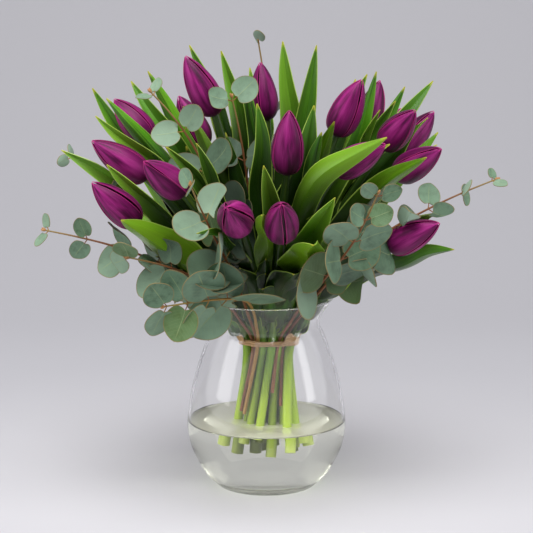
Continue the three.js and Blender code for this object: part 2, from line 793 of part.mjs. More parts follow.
function makeRoundLeaf(plant, node, out, face, width) {
  const radius = width / 2;
  const across = face.clone().cross(out).normalize();
  const centre = node.clone().addScaledVector(out, roundLeaf.petiole + radius);
  const rim = [-0.5, 0.5].map((side) => {
    const start = node.clone().addScaledVector(out, roundLeaf.sink);
    return start.addScaledVector(across, side * roundLeaf.rootWidth);
  });
  for (let i = 0; i < roundLeaf.points; i++) {
    const angle = radians(roundLeaf.arc * (0.5 - i / (roundLeaf.points - 1)));
    const spot = centre.clone().addScaledVector(out, radius * Math.cos(angle));
    spot.addScaledVector(across, radius * Math.sin(angle)).addScaledVector(face, radius * roundLeaf.cup);
    rim.push(settle(spot, plant));
  }
  const middle = settle(centre.clone(), plant);
  const lift = face.clone().multiplyScalar(roundLeaf.thick / 2);
  const count = rim.length;
  const points = [];
  for (const side of [1, -1]) {
    points.push(...[...rim, middle].map((p) => p.clone().addScaledVector(lift, side)));
  }
  const under = count + 1;
  const faces = [];
  for (let i = 0; i < count; i++) {
    const next = (i + 1) % count;
    faces.push([count, i, next], [count + under, next + under, i + under]);
    faces.push([i, i + under, next + under], [i, next + under, next]);
  }
  return solid(geometryOf(points, faces));
}

function makeSpray(plant) {
  const last = plant.points.length - 1;
  const course = [plant.foot, ...plant.points];
  const radii = course.map((p, k) => twig.radius + (twig.tipRadius - twig.radius) * (k / (last + 1)));
  const pieces = [tube(course, radii, twig.sides)];
  const curve = new THREE.CatmullRomCurve3(plant.points, false, "centripetal");
  const rim = vase.outline.at(-1)[0];
  let first = plant.from ?? pairing.first;
  for (let spot = curve.getPointAt(first); spot.z < rimHeight + 15 && Math.hypot(spot.x, spot.y) < rim + 5;) {
    first += pairing.step;
    spot = curve.getPointAt(first);
  }
  for (let pair = 0; pair < plant.pairs; pair++) {
    const share = pair / (plant.pairs - 1);
    const at = first + (pairing.last - first) * share;
    const node = curve.getPointAt(at);
    const along = curve.getTangentAt(at);
    const level = node.clone().sub(facing.centre).cross(along).normalize();
    const width = plant.size[0] + (plant.size[1] - plant.size[0]) * share;
    for (const side of [0, 180]) {
      const turn = (pair % 2 ? plant.turn : -plant.turn) + side + chance(-pairing.wander, pairing.wander);
      const out = level.clone().applyAxisAngle(along, radians(turn));
      out.addScaledVector(along, pairing.forward).normalize();
      const lean = pairing.lean + chance(-pairing.leanWander, pairing.leanWander);
      const face = outOfBouquet(node).addScaledVector(along, lean);
      face.addScaledVector(out, -face.dot(out)).normalize();
      pieces.push(makeRoundLeaf(plant, node, out, face, width * chance(...pairing.size)));
    }
  }
  return join(pieces);
}

// ---- the tie ----

// The outline of what the tie is wound round: the convex hull of the stems' circles
function hullRound(circles, gap, sides) {
  const points = [];
  for (let i = 0; i < sides; i++) {
    const angle = (i / sides) * 2 * Math.PI;
    const spoke = new THREE.Vector2(Math.cos(angle), Math.sin(angle));
    const reach = Math.max(...circles.map((c) => c.x * spoke.x + c.y * spoke.y + c.radius));
    points.push({ spoke, reach: reach + gap });
  }
  return points.map((here, i) => {
    const next = points[(i + 1) % sides];
    const cross = here.spoke.x * next.spoke.y - here.spoke.y * next.spoke.x;
    const x = (here.reach * next.spoke.y - next.reach * here.spoke.y) / cross;
    const y = (here.spoke.x * next.reach - next.spoke.x * here.reach) / cross;
    return new THREE.Vector2(x, y);
  });
}

function makeTie(plants) {
  const circles = plants.flatMap((plant) => [plant.foot, plant.points[1]].map((far) => {
    const edge = between(plant.tiePoint, far, tie.band / 2 / Math.abs(far.z - tie.height));
    return { x: edge.x, y: edge.y, radius: plant.radius };
  }));
  const inner = hullRound(circles, tie.gap, tie.sides);
  const outer = hullRound(circles, tie.gap + tie.thick, tie.sides);
  const band = new THREE.Shape(outer);
  band.holes.push(new THREE.Path(inner));
  const ring = new THREE.ExtrudeGeometry(band, { depth: tie.band, bevelEnabled: false });
  const indexed = mergeVertices(ring.deleteAttribute("normal").deleteAttribute("uv"));
  return solid(indexed.translate(0, 0, tie.height - tie.band / 2));
}

// ---- the whole bouquet ----

for (const plant of tulips) {
  plant.base = vec(plant.base);
  plant.tipPoint = vec(plant.tip);
  plant.head = plant.base;
  plant.long = plant.base.distanceTo(plant.tipPoint);
  plant.lean = plant.tipPoint.clone().sub(plant.base).normalize();
  plant.radius = stem.radius;
}
for (const plant of sprays) {
  plant.head = vec(plant.route[1]);
  plant.radius = twig.radius;
}
const plants = [...tulips, ...sprays];
packAtTie(plants);
tulips.forEach((plant, k) => {
  setFoot(plant, stem.foot + stem.footStep * ((k % 4) - 1.5));
  plant.points = tulipAxis(plant);
  plant.extra = [plant.tipPoint, plant.tipPoint.clone().addScaledVector(plant.lean, beyondTip)];
});
for (const plant of sprays) {
  setFoot(plant, plant.foot);
  plant.points = sprayAxis(plant);
  const [before, end] = plant.points.slice(-2);
  plant.extra = [end.clone().addScaledVector(end.clone().sub(before).normalize(), beyondTip)];
}
easeApart(plants);

addPiece("vase", makeVase(), finish.glass);
addPiece("water", makeWater(tulips), finish.water);
addPiece("tie", makeTie(plants), finish.raffia);
const numbered = (k) => String(k + 1).padStart(2, "0");
tulips.forEach((plant, k) => {
  addPiece(`tulip_${numbered(k)}_bloom`, makeBloom(plant), finish.petal);
  addPiece(`tulip_${numbered(k)}_stem`, largestBody(makeTulipStem(plant)), finish.tulipGreen);
});
sprays.forEach((plant, k) => {
  addPiece(`eucalyptus_${numbered(k)}`, largestBody(makeSpray(plant)), finish.eucalyptusGreen);
});

export default bouquet;
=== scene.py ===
import math

import bpy
import numpy as np
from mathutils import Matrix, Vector


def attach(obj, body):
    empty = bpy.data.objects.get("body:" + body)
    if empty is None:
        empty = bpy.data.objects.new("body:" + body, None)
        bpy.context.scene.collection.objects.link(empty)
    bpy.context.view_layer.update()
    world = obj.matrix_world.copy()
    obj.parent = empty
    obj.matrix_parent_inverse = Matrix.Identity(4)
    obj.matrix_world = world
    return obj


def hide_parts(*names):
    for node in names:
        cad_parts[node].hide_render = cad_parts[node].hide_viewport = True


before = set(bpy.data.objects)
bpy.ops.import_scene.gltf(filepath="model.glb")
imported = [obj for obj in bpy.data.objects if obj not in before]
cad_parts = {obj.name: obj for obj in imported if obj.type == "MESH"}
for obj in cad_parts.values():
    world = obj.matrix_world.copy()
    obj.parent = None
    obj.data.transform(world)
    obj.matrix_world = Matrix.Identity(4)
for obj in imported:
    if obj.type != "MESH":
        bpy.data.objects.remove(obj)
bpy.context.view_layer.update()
print("frame loaded with", len(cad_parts), "solids")

# The plants and the vase are worked out in millimetres and the studio in metres, +Z up, with the
# bouquet's face along -Y. Stems, leaves and blooms are placed by the same rules as the solids.

vaseShape = {
    "outline": [
        (45, 0), (49.5, 1.2), (59.5, 11), (69, 26), (76, 42), (79, 66), (74.5, 98),
        (66.5, 127), (57, 153), (52.5, 163), (56.5, 175), (65.5, 189),
    ],
    "steps": 10,
    "wall": 2.8,
    "floor": 9,
    "waterLine": 65,
}
tieShape = {"height": 147, "band": 4, "gap": 0.35}
stemShape = {
    "radius": 4.4, "foot": 47, "depths": 4, "footStep": 5, "twist": 38, "splay": 1.45,
    "spacing": 0.3,
    "rise": 62, "riseOut": 0.25, "approach": 0.42, "spans": 6,
    "rows": 60, "sides": 16, "taper": 0.9, "wobble": 0.03, "wobbles": 9, "ridges": 0.03,
    "intoBloom": 0.6,
}
twigShape = {
    "radius": 1.8, "tipRadius": 1.2, "rise": 44, "riseOut": 0.3, "spans": 7, "beyond": 24,
    "rows": 70, "sides": 10, "tipTaper": 0.6,
}
fan = {"centre": np.array([0.0, 0.0, 70.0]), "beyondTip": 160}
# how far leaves may spread between their neighbours, and the gaps to blooms, rim and neck
room = {
    "margin": 1.15, "lap": 1.5, "knee": 0.62, "least": 0.5, "most": 400,
    "bloomGap": 2, "rimGap": 2.2, "neck": 2.6, "rimArch": 7,
}

# base, tip, width and turn of each bloom, then [tip x, y, z, width] of each leaf on its stem
tulips = [
    ((-49, -10, 370), (-78, -15, 427), 33, 20,
     [(-75, 14, 436, 24), (-44, 4, 431, 23), (-84, -50, 378, 23)]),
    ((0, 36, 361), (-6, 40, 419), 30, 70,
     [(-21, 20, 406, 22), (-17, 66, 412, 22), (16, 40, 439, 27)]),
    ((19, -62, 318), (21, -74, 379), 33, 30,
     [(-9, -58, 384, 26), (46, -34, 381, 34), (51, -78, 359, 24)]),
    ((67, -5, 350), (91, -20, 405), 34, 0,
     [(48, 18, 436, 27), (64, -44, 366, 24), (98, 12, 408, 24)]),
    ((97, 46, 345), (114, 58, 400), 30, 40, [(108, 26, 410, 22), (90, 74, 400, 24)]),
    ((114, 2, 338), (142, -28, 376), 32, 10,
     [(126, 12, 382, 24), (156, -8, 367, 24), (108, -26, 376, 20)]),
    ((133, 45, 325), (169, 58, 369), 30, 60, [(169, 78, 398, 27), (170, 30, 350, 22)]),
    ((125, -20, 312), (165, -55, 342), 32, 25, [(149, -72, 335, 29), (164, -20, 342, 24)]),
    ((64, -75, 322), (109, -100, 350), 31, 50,
     [(108, -124, 358, 31), (116, -58, 346, 22), (58, -118, 256, 32)]),
    ((118, -42, 246), (162, -75, 274), 32, 0,
     [(162, -48, 288, 27), (178, -58, 246, 27), (80, -96, 218, 32)]),
    ((-113, 5, 343), (-149, 12, 384), 32, 15,
     [(-171, 22, 394, 24), (-154, -12, 386, 22), (-134, 36, 400, 24)]),
    ((-115, -22, 310), (-167, -30, 347), 33, 45, [(-200, -14, 335, 29), (-165, -8, 369, 24)]),
    ((-78, -72, 302), (-112, -106, 335), 32, 5, [(-92, -88, 346, 22), (-62, -80, 350, 24)]),
    ((-121, -58, 271), (-163, -75, 312), 33, 30, [(-133, -108, 281, 46), (-150, -60, 327, 24)]),
    ((-24, -102, 275), (-35, -158, 299), 35, 50, [(0, -162, 292, 32), (-66, -146, 272, 29)]),
    ((14, -104, 266), (13, -158, 302), 34, 104,
     [(-3, -112, 332, 24), (66, -132, 305, 37), (42, -136, 262, 44)]),
    ((-62, 38, 334), (-88, 50, 385), 31, 65, [(-117, 32, 410, 24), (-58, 66, 398, 24)]),
    ((108, 90, 318), (140, 114, 368), 31, 35, [(141, 84, 392, 24), (120, 126, 366, 27)]),
    ((-17, 78, 336), (-27, 98, 393), 32, 10, [(0, 120, 386, 27), (-52, 92, 384, 24)]),
    ((48, 112, 262), (75, 152, 304), 33, 55, [(96, 128, 322, 29), (104, 150, 268, 32)]),
    ((-80, 95, 262), (-114, 128, 302), 33, 15,
     [(-140, 96, 318, 29), (-82, 138, 330, 27), (-150, 130, 262, 32)]),
    ((-12, 128, 240), (-18, 178, 272), 33, 40, [(-46, 156, 306, 29), (22, 176, 262, 32)]),
]

# the points each twig passes, the height of its cut end, its leaf pairs, their widths and the turn
# of the first pair
sprays = [
    (((-109, -72, 249), (-163, -55, 257), (-212, -40, 262)), 92, 4, (38, 14), 20),
    (((-4, -92, 214), (-44, -118, 210), (-94, -116, 202)), 75, 5, (44, 28), 15),
    (((78, -110, 234), (87, -130, 271), (100, -136, 309)), 98, 5, (42, 18), 10),
    (((104, -88, 267), (160, -70, 301), (217, -50, 312)), 84, 5, (38, 14), 55),
    (((-47, -112, 262), (-62, -138, 296), (-68, -136, 316)), 104, 3, (42, 20), 70),
    (((-56, -50, 339), (-78, -52, 376), (-109, -44, 394)), 88, 4, (42, 16), 15),
    (((9, 82, 366), (-2, 94, 416), (-9, 92, 441)), 96, 3, (30, 14), 50),
    (((-26, -20, 321), (-20, -30, 362), (-33, -30, 388)), 80, 3, (44, 24), 5),
    (((-72, -70, 232), (-102, -82, 238), (-130, -80, 242)), 76, 3, (38, 24), 40),
    (((-44, 96, 300), (-66, 142, 336), (-82, 172, 348)), 102, 3, (42, 18), 30),
    (((-134, 4, 292), (-172, 10, 322), (-194, 8, 329)), 90, 3, (32, 14), 25),
    (((8, 108, 300), (20, 150, 330), (34, 178, 344)), 86, 3, (44, 20), 55),
]
outerSpray = "eucalyptus_02"  # lies outside the bunch, so nothing crowds it


def makeChance(seed):
    # small variations that come out the same every time
    state, factor, span = [seed], 16807, 2147483647

    def chance(low, high):
        state[0] = state[0] * factor % span
        return low + (high - low) * state[0] / span

    return chance


def length(v):
    return np.linalg.norm(v, axis=-1)


def unit(v):
    return v / np.maximum(length(v), 1e-9)[..., None]


def fanReach(points):
    return length(points - fan["centre"])


def squareTo(v, along):
    return unit(v - along * (v * along).sum(-1, keepdims=True))


def turned(v, axis, degrees):
    # a vector turned round an axis
    angle = math.radians(degrees)
    swung = v * math.cos(angle) + np.cross(axis, v) * math.sin(angle)
    return swung + axis * (axis @ v) * (1 - math.cos(angle))


def sharesOf(count):
    return np.linspace(0, 1, count)


def roundAngles(count):
    return np.arange(count) / count * 2 * math.pi


def spokesAt(angle):
    return np.stack([np.cos(angle), np.sin(angle)], 1)


def easeThrough(x, places, values):
    # a smooth curve through values at places, without overshoot at its ends
    places, values = np.array(places, float), np.array(values, float)
    steps = np.diff(values) / np.diff(places)
    slopes = np.concatenate([steps[:1], (steps[1:] + steps[:-1]) / 2, steps[-1:]])
    x = np.clip(x, places[0], places[-1])
    k = np.clip(np.searchsorted(places, x, side="right") - 1, 0, len(places) - 2)
    gap = places[k + 1] - places[k]
    t = (x - places[k]) / gap
    start = ((2 * t - 3) * t * t + 1) * values[k] + ((t - 2) * t + 1) * t * (slopes[k] * gap)
    return start + (3 - 2 * t) * t * t * values[k + 1] + (t - 1) * t * t * (slopes[k + 1] * gap)


def bent(a, b, leaving, arriving, w):
    # the curve from a to b that leaves and arrives at those speeds
    cubed = (2 * a - 2 * b + leaving + arriving) * w ** 3
    squared = (3 * b - 3 * a - 2 * leaving - arriving) * w ** 2
    return cubed + squared + leaving * w + a


def flatCurve(points, t):
    # an even spline through flat points
    points = np.array(points, float)
    last = len(points) - 1
    spot = last * np.asarray(t, float)
    k = np.clip(np.floor(spot).astype(int), 0, last)
    p0, p1 = points[np.maximum(k - 1, 0)], points[k]
    p2, p3 = points[np.minimum(k + 1, last)], points[np.minimum(k + 2, last)]
    return bent(p1, p2, (p2 - p0) / 2, (p3 - p1) / 2, (spot - k)[:, None])


def roundCurve(points, t):
    # a spline through points in space that keeps clear of kinks where they stand unevenly
    points = np.array(points, float)
    last = len(points) - 1
    full = np.concatenate([[2 * points[0] - points[1]], points, [2 * points[-1] - points[-2]]])
    spot = last * np.asarray(t, float)
    k = np.clip(np.floor(spot).astype(int), 0, last - 1)
    p0, p1, p2, p3 = full[k], full[k + 1], full[k + 2], full[k + 3]
    d0, d1, d2 = (np.sqrt(length(b - a))[:, None] for a, b in ((p0, p1), (p1, p2), (p2, p3)))
    v0 = ((p1 - p0) / d0 - (p2 - p0) / (d0 + d1) + (p2 - p1) / d1) * d1
    v1 = ((p2 - p1) / d1 - (p3 - p1) / (d1 + d2) + (p3 - p2) / d2) * d1
    return bent(p1, p2, v0, v1, (spot - k)[:, None])


def evenly(curve, points, shares, samples=201):
    # where on the curve equal shares of its length lie
    t = sharesOf(samples)
    run = np.concatenate([[0], np.cumsum(length(np.diff(curve(points, t), axis=0)))])
    return np.interp(np.asarray(shares) * run[-1], run, t)


def heading(curve, points, t, step=1e-4):
    low, high = np.maximum(t - step, 0), np.minimum(t + step, 1)
    return unit(curve(points, high) - curve(points, low))


def glassProfile(shares):
    # outside and inside of the glass at shares of its height
    points = vaseShape["outline"][1:]
    t = evenly(flatCurve, points, shares)
    outer = flatCurve(points, t)
    along = heading(flatCurve, points, t)
    return outer, outer + np.stack([-along[:, 1], along[:, 0]], 1) * vaseShape["wall"]


outside, inside = glassProfile(np.arange(vaseShape["steps"] + 1) / vaseShape["steps"])
rimRadius, rimHeight = vaseShape["outline"][-1]
rimTop = rimHeight - 1  # the glass is measured up to here


def radiusAt(profile, z):
    return np.interp(z, profile[:, 1], profile[:, 0])


class Plant:
    def __init__(self, name, head, radius):
        self.name = name
        self.head = np.array(head, float)
        self.radius = radius


plants = []
for number, (base, tip, width, turn, leaves) in enumerate(tulips, 1):
    plant = Plant(f"tulip_{number:02d}", base, stemShape["radius"])
    plant.base, plant.tip = np.array(base, float), np.array(tip, float)
    plant.width, plant.turn, plant.leaves = width, turn, leaves
    plant.long = float(length(plant.tip - plant.base))
    plant.lean = unit(plant.tip - plant.base)
    plants.append(plant)
for number, (route, foot, pairs, size, turn) in enumerate(sprays, 1):
    plant = Plant(f"eucalyptus_{number:02d}", route[1], twigShape["radius"])
    plant.route, plant.cut, plant.pairs = route, foot, pairs
    plant.size, plant.turn, plant.width = size, turn, 0
    plants.append(plant)
tulipPlants, sprayPlants = plants[: len(tulips)], plants[len(tulips):]
for order, plant in enumerate(plants):
    plant.order = order
radii = np.array([plant.radius for plant in plants])

gather = {"outPerRadian": 44, "passes": 600, "pullPasses": 500, "pull": 0.997}


def packAtTie():
    # stems are drawn to the middle of the tie and pushed off their neighbours
    spots = []
    for plant in plants:
        x, y, z = plant.head
        out = gather["outPerRadian"] * math.atan2(math.hypot(x, y), z - fan["centre"][2])
        side = math.atan2(y, x)
        spots.append([out * math.cos(side), out * math.sin(side)])
    for turn in range(gather["passes"]):
        for a, spot in enumerate(spots):
            if turn < gather["pullPasses"]:
                spot[0] *= gather["pull"]
                spot[1] *= gather["pull"]
            for b, other in enumerate(spots):
                if a == b:
                    continue
                dx, dy = spot[0] - other[0], spot[1] - other[1]
                need = plants[a].radius + plants[b].radius + stemShape["spacing"]
                if dx * dx + dy * dy < need * need:
                    gap = math.sqrt(dx * dx + dy * dy)
                    push = (need - gap) / 2 / gap
                    spot[0] += dx * push
                    spot[1] += dy * push
                    other[0] -= dx * push
                    other[1] -= dy * push
    for plant, (x, y) in zip(plants, spots):
        plant.tie = np.array([x, y, tieShape["height"]])


def setFoot(plant, depth):
    turn = math.radians(-stemShape["twist"])
    x, y = plant.tie[:2]
    full = np.array([
        (x * math.cos(turn) - y * math.sin(turn)) * stemShape["splay"],
        (x * math.sin(turn) + y * math.cos(turn)) * stemShape["splay"],
        stemShape["foot"],
    ])
    share = (tieShape["height"] - depth) / (tieShape["height"] - stemShape["foot"])
    plant.foot = plant.tie + (full - plant.tie) * share


def layAxes():
    # the arch of each stem above the tie, and the straight run on through its bloom
    for k, plant in enumerate(tulipPlants):
        level = k % stemShape["depths"] - (stemShape["depths"] - 1) / 2
        setFoot(plant, stemShape["foot"] + stemShape["footStep"] * level)
        out = plant.tie * (stemShape["riseOut"], stemShape["riseOut"], 0)
        rise = plant.tie + out + (0, 0, stemShape["rise"])
        before = plant.base - plant.lean * stemShape["approach"] * length(plant.base - rise)
        t = sharesOf(stemShape["spans"] + 1)[:, None]
        plant.points = (
            plant.tie * (1 - t) ** 3 + rise * 3 * t * (1 - t) ** 2
            + before * 3 * t ** 2 * (1 - t) + plant.base * t ** 3
        )
        plant.extra = [plant.tip, plant.tip + plant.lean * fan["beyondTip"]]
    for plant in sprayPlants:
        setFoot(plant, plant.cut)
        out = plant.tie * (twigShape["riseOut"], twigShape["riseOut"], 0)
        course = [plant.tie, plant.tie + out + (0, 0, twigShape["rise"]), *plant.route]
        plant.points = roundCurve(course, sharesOf(twigShape["spans"] + 1))
        ahead = unit(plant.points[-1] - plant.points[-2])
        plant.extra = [plant.points[-1] + ahead * fan["beyondTip"]]
    return np.array([np.concatenate([plant.points, plant.extra]) for plant in plants])


packAtTie()
lines = layAxes()  # one row of points for each plant, changed in place below
reach = np.zeros(lines.shape[:2])
ends = np.zeros(len(plants))


def measure():
    reach[:] = fanReach(lines)
    for plant in plants:
        far = reach[plant.order, len(plant.points) - 1]
        ends[plant.order] = np.inf if plant.width else far + twigShape["beyond"]


def axesAt(line, far, distance):
    # points of rows of axes at given distances from the middle of the fan
    k = 1 + np.cumprod(far[:, 1:-1, None] < distance, axis=1).sum(axis=1)
    row = np.arange(len(line))[:, None]
    share = (distance - far[row, k - 1]) / (far[row, k] - far[row, k - 1])
    return line[row, k - 1] + (line[row, k] - line[row, k - 1]) * share[..., None]


def axisAt(plant, distance):
    k, distance = plant.order, np.asarray(distance)
    return axesAt(lines[k:k + 1], reach[k:k + 1], distance)[0]


bloomEnds = {"below": 6, "above": 4, "swell": 5, "shrink": 3}
# a twig carries no bloom, so it would swell only far out of reach
swellFrom = np.array([
    fanReach(p.base) - bloomEnds["below"] if p.width else 9e8 for p in plants
])
swellTo = np.array([
    fanReach(p.tip) + bloomEnds["above"] if p.width else 9e9 for p in plants
])
swellRoom = np.array([
    p.width / 2 + room["bloomGap"] - p.radius if p.width else 0.0 for p in plants
])


def girths(distance):
    # how thick every plant is at those distances: its bloom, or else its stem
    share = (distance - swellFrom[:, None]) / (swellTo - swellFrom)[:, None]
    swell = np.minimum(bloomEnds["swell"] * share, bloomEnds["shrink"] * (1 - share))
    swell = np.where((share > 0) & (share < 1), np.minimum(1, swell), 0)
    return radii[:, None] + swellRoom[:, None] * swell


# how near the rim a point has to be for the glass to hold it in, lift it or keep it out
byRim = {
    "heldTo": 6, "archInside": 10, "archOutside": 16,
    "lip": 8, "lipWidth": 14, "core": 40, "foot": 2,
}


def insideNeck(points, gap):
    most = radiusAt(inside, np.minimum(points[:, 2], rimTop)) - gap
    out = np.hypot(points[:, 0], points[:, 1])
    held = (points[:, 2] < rimHeight + byRim["heldTo"]) & (out > most)
    points[:, :2] *= np.where(held, most / np.maximum(out, 1e-9), 1)[:, None]


def overRim(point, radius):
    out = math.hypot(point[0], point[1])
    if rimRadius - byRim["archInside"] < out < rimRadius + byRim["archOutside"]:
        point[2] = max(point[2], rimHeight + radius + room["rimArch"])


easing = {"passes": 60, "clearance": 2, "push": 0.5, "smoothing": 0.06, "look": 25}


def easeApart():
    # each point of a stem is pushed off its neighbours, then drawn back to a smooth line
    for _ in range(easing["passes"]):
        measure()
        for plant in plants:
            row = plant.order
            for k in range(1, len(plant.points) - 1):
                point = lines[row, k]
                distance = np.array([fanReach(point)])
                others = axesAt(lines, reach, distance)[:, 0]
                need = plant.radius + girths(distance)[:, 0] + easing["clearance"]
                for other in np.nonzero(length(point - others) < need + easing["look"])[0]:
                    apart = point - others[other]
                    gap = math.sqrt(apart @ apart)
                    if other != row and gap < need[other]:
                        point += apart * (easing["push"] * (need[other] - gap) / gap)
                point += ((lines[row, k - 1] + lines[row, k + 1]) / 2 - point) * easing["smoothing"]
                insideNeck(lines[row, k:k + 1], plant.radius + room["neck"])
                overRim(point, plant.radius)
    measure()
    for plant in plants:
        plant.points = lines[plant.order, : len(plant.points)].copy()


easeApart()
print("stems laid out:", len(tulipPlants), "tulips and", len(sprayPlants), "sprays")


def keepToCell(points, plant, lap):
    # draws in points that come too near a neighbour's axis
    distance = fanReach(points)
    axes = axesAt(lines, reach, distance)
    own = axes[plant.order]
    offset = points - own
    far = length(offset)
    offset = unit(offset)
    thick = girths(distance)
    apart = axes - own
    along = (apart * offset).sum(-1)
    weight = thick[plant.order] ** 2 - thick ** 2
    near = (along > 1e-9) & (distance < ends[:, None])
    near[plant.order] = False
    limit = ((apart ** 2).sum(-1) + weight) / (2 * np.where(near, along, 1))
    limit = np.where(near, limit, room["most"])
    limit = np.maximum(limit.min(0) * lap - room["margin"], room["least"])
    knee = room["knee"] * limit
    squeezed = knee + (limit - knee) * (1 - np.exp(-np.maximum(far - knee, 0) / (limit - knee)))
    moved = own + offset * squeezed[:, None] - fan["centre"]
    moved = fan["centre"] + unit(moved) * distance[:, None]
    return np.where((far > knee)[:, None], moved, points)


def keepOffOwnStem(points, plant):
    own = axisAt(plant, fanReach(points))
    off = points - own
    need = plant.radius + blade["standOff"]
    return np.where((length(off) < need)[:, None], own + unit(off) * need, points)


# how thick a closed bud is at each level, from its foot up, and where it pushes leaves aside
budForm = {
    "level": [0, 0.15, 0.42, 0.72, 0.92, 1], "radius": [0.36, 0.84, 1, 0.8, 0.39, 0.15],
    "read": (0.02, 0.98), "from": -0.08, "to": 1.06,
}


def keepOffBlooms(points):
    for plant in tulipPlants:
        away = points - plant.base
        share = away @ plant.lean / plant.long
        off = away - np.outer(share * plant.long, plant.lean)
        bud = np.interp(np.clip(share, *budForm["read"]), budForm["level"], budForm["radius"])
        lack = bud * plant.width / 2 + room["bloomGap"] - length(off)
        held = (share > budForm["from"]) & (share < budForm["to"]) & (lack > 0)
        points = points + unit(off) * np.where(held, lack, 0)[:, None]
    return points


def keepOffGlass(points):
    points = points.copy()
    out, height = np.hypot(points[:, 0], points[:, 1]), points[:, 2]
    low = (height < rimHeight + room["rimGap"]) & (out > byRim["core"])
    middle = radiusAt(outside, np.minimum(height, rimTop)) - vaseShape["wall"] / 2
    nearEdge = np.abs(out - rimRadius) < byRim["lipWidth"]
    onRim = low & (height > rimHeight - byRim["lip"]) & nearEdge
    points[onRim, 2] = rimHeight + room["rimGap"]
    within = low & ~onRim & (out < middle)
    held = points[within]
    insideNeck(held, room["rimGap"])
    points[within] = held
    beyond = low & ~onRim & ~within
    least = radiusAt(outside, np.clip(height, byRim["foot"], rimTop)) + room["rimGap"]
    grow = np.where(beyond & (out < least), least / np.maximum(out, 1e-9), 1)
    points[:, :2] *= grow[:, None]
    return points


def settle(points, plant, lap=room["lap"]):
    if plant.name != outerSpray:
        points = keepToCell(points, plant, lap)
    return keepOffGlass(keepOffBlooms(keepOffOwnStem(points, plant)))


# little light reaches the heart of the bunch, so the finishes darken towards it, and towards the
# middle of the bundle below the tie
heart = {
    "at": np.array([0.0, 0.0, 240.0]), "spread": np.array([205.0, 175.0, 190.0]),
    "low": 178, "full": 216, "bundle": 28, "spreading": 0.12, "fade": 8,
}


def depthOf(points):
    bunch = np.clip(1 - length((points - heart["at"]) / heart["spread"]), 0, 1)
    above = np.clip((points[:, 2] - heart["low"]) / (heart["full"] - heart["low"]), 0, 1)
    drop = tieShape["height"] - points[:, 2]
    wide = heart["bundle"] + heart["spreading"] * drop
    bundle = np.clip(1 - np.hypot(points[:, 0], points[:, 1]) / wide, 0, 1)
    return bunch * above + bundle * np.clip(drop / heart["fade"], 0, 1)


def addObject(name, data):
    made = bpy.data.objects.new(name, data)
    bpy.context.scene.collection.objects.link(made)
    return made


class Pile:
    # parts of one mesh, with what the finishes read: place across, place along, tone and side
    def __init__(self):
        self.points, self.marks, self.sides, self.faces, self.slots = [], [], [], [], []
        self.count = 0

    def add(self, points, faces, across, along, tone, side=0.0, slot=0):
        number = len(points)
        self.points.append(points)
        spread = (np.broadcast_to(np.asarray(x, float), number) for x in (across, along, tone))
        self.marks.append(np.stack(list(spread), 1))
        self.sides.append(np.broadcast_to(np.asarray(side, float), number))
        self.faces += [tuple(int(i) + self.count for i in face) for face in faces]
        self.slots += np.broadcast_to(slot, len(faces)).tolist()
        self.count += number

    def mesh(self, name, finishes, sharp=40):
        mesh = bpy.data.meshes.new(name)
        points = np.concatenate(self.points)
        mesh.from_pydata(points * 0.001, [], self.faces)
        for key, kind, field, values in (
            ("depth", "FLOAT", "value", depthOf(points)),
            ("lay", "FLOAT_VECTOR", "vector", np.concatenate(self.marks)),
            ("side", "FLOAT", "value", np.concatenate(self.sides)),
        ):
            marks = mesh.attributes.new(key, kind, "POINT")
            marks.data.foreach_set(field, values.astype(np.float32).ravel())
        for finish in finishes:
            mesh.materials.append(finish)
        mesh.polygons.foreach_set("material_index", np.array(self.slots, np.int32))
        mesh.polygons.foreach_set("use_smooth", np.ones(len(self.faces), bool))
        mesh.set_sharp_from_angle(angle=math.radians(sharp))
        mesh.update()
        return addObject(name, mesh)


def quads(rows, columns, wrap=False):
    # the faces between the points of a grid
    k, j = np.meshgrid(np.arange(rows - 1), np.arange(columns - (not wrap)), indexing="ij")
    k, j = k.ravel(), j.ravel()
    right = (j + 1) % columns
    a, b = k * columns + j, k * columns + right
    return np.stack([a, b, b + columns, a + columns], 1)


def addSheet(pile, grid, across, along, tone, low, high, slot=0):
    # a thin leaf or petal over a grid of points, from low to high along its normals
    rows, columns = grid.shape[:2]
    normal = unit(np.cross(np.gradient(grid, axis=0), np.gradient(grid, axis=1)))
    under = rows * columns
    points = np.concatenate([
        (grid + normal * high).reshape(-1, 3), (grid + normal * low).reshape(-1, 3)
    ])
    top = quads(rows, columns)
    border = np.concatenate([
        np.arange(columns - 1), np.arange(rows - 1) * columns + columns - 1,
        (rows - 1) * columns + np.arange(columns - 1, 0, -1), np.arange(rows - 1, 0, -1) * columns,
    ])
    following = np.roll(border, -1)
    edge = np.stack([border, following, following + under, border + under], 1)
    faces = np.concatenate([top[:, ::-1], top + under, edge])
    across, along = (np.broadcast_to(x, (rows, columns)).ravel() for x in (across, along))
    side = np.repeat([0.0, 1.0], under)
    pile.add(points, faces, np.tile(across, 2), np.tile(along, 2), tone, side, slot)


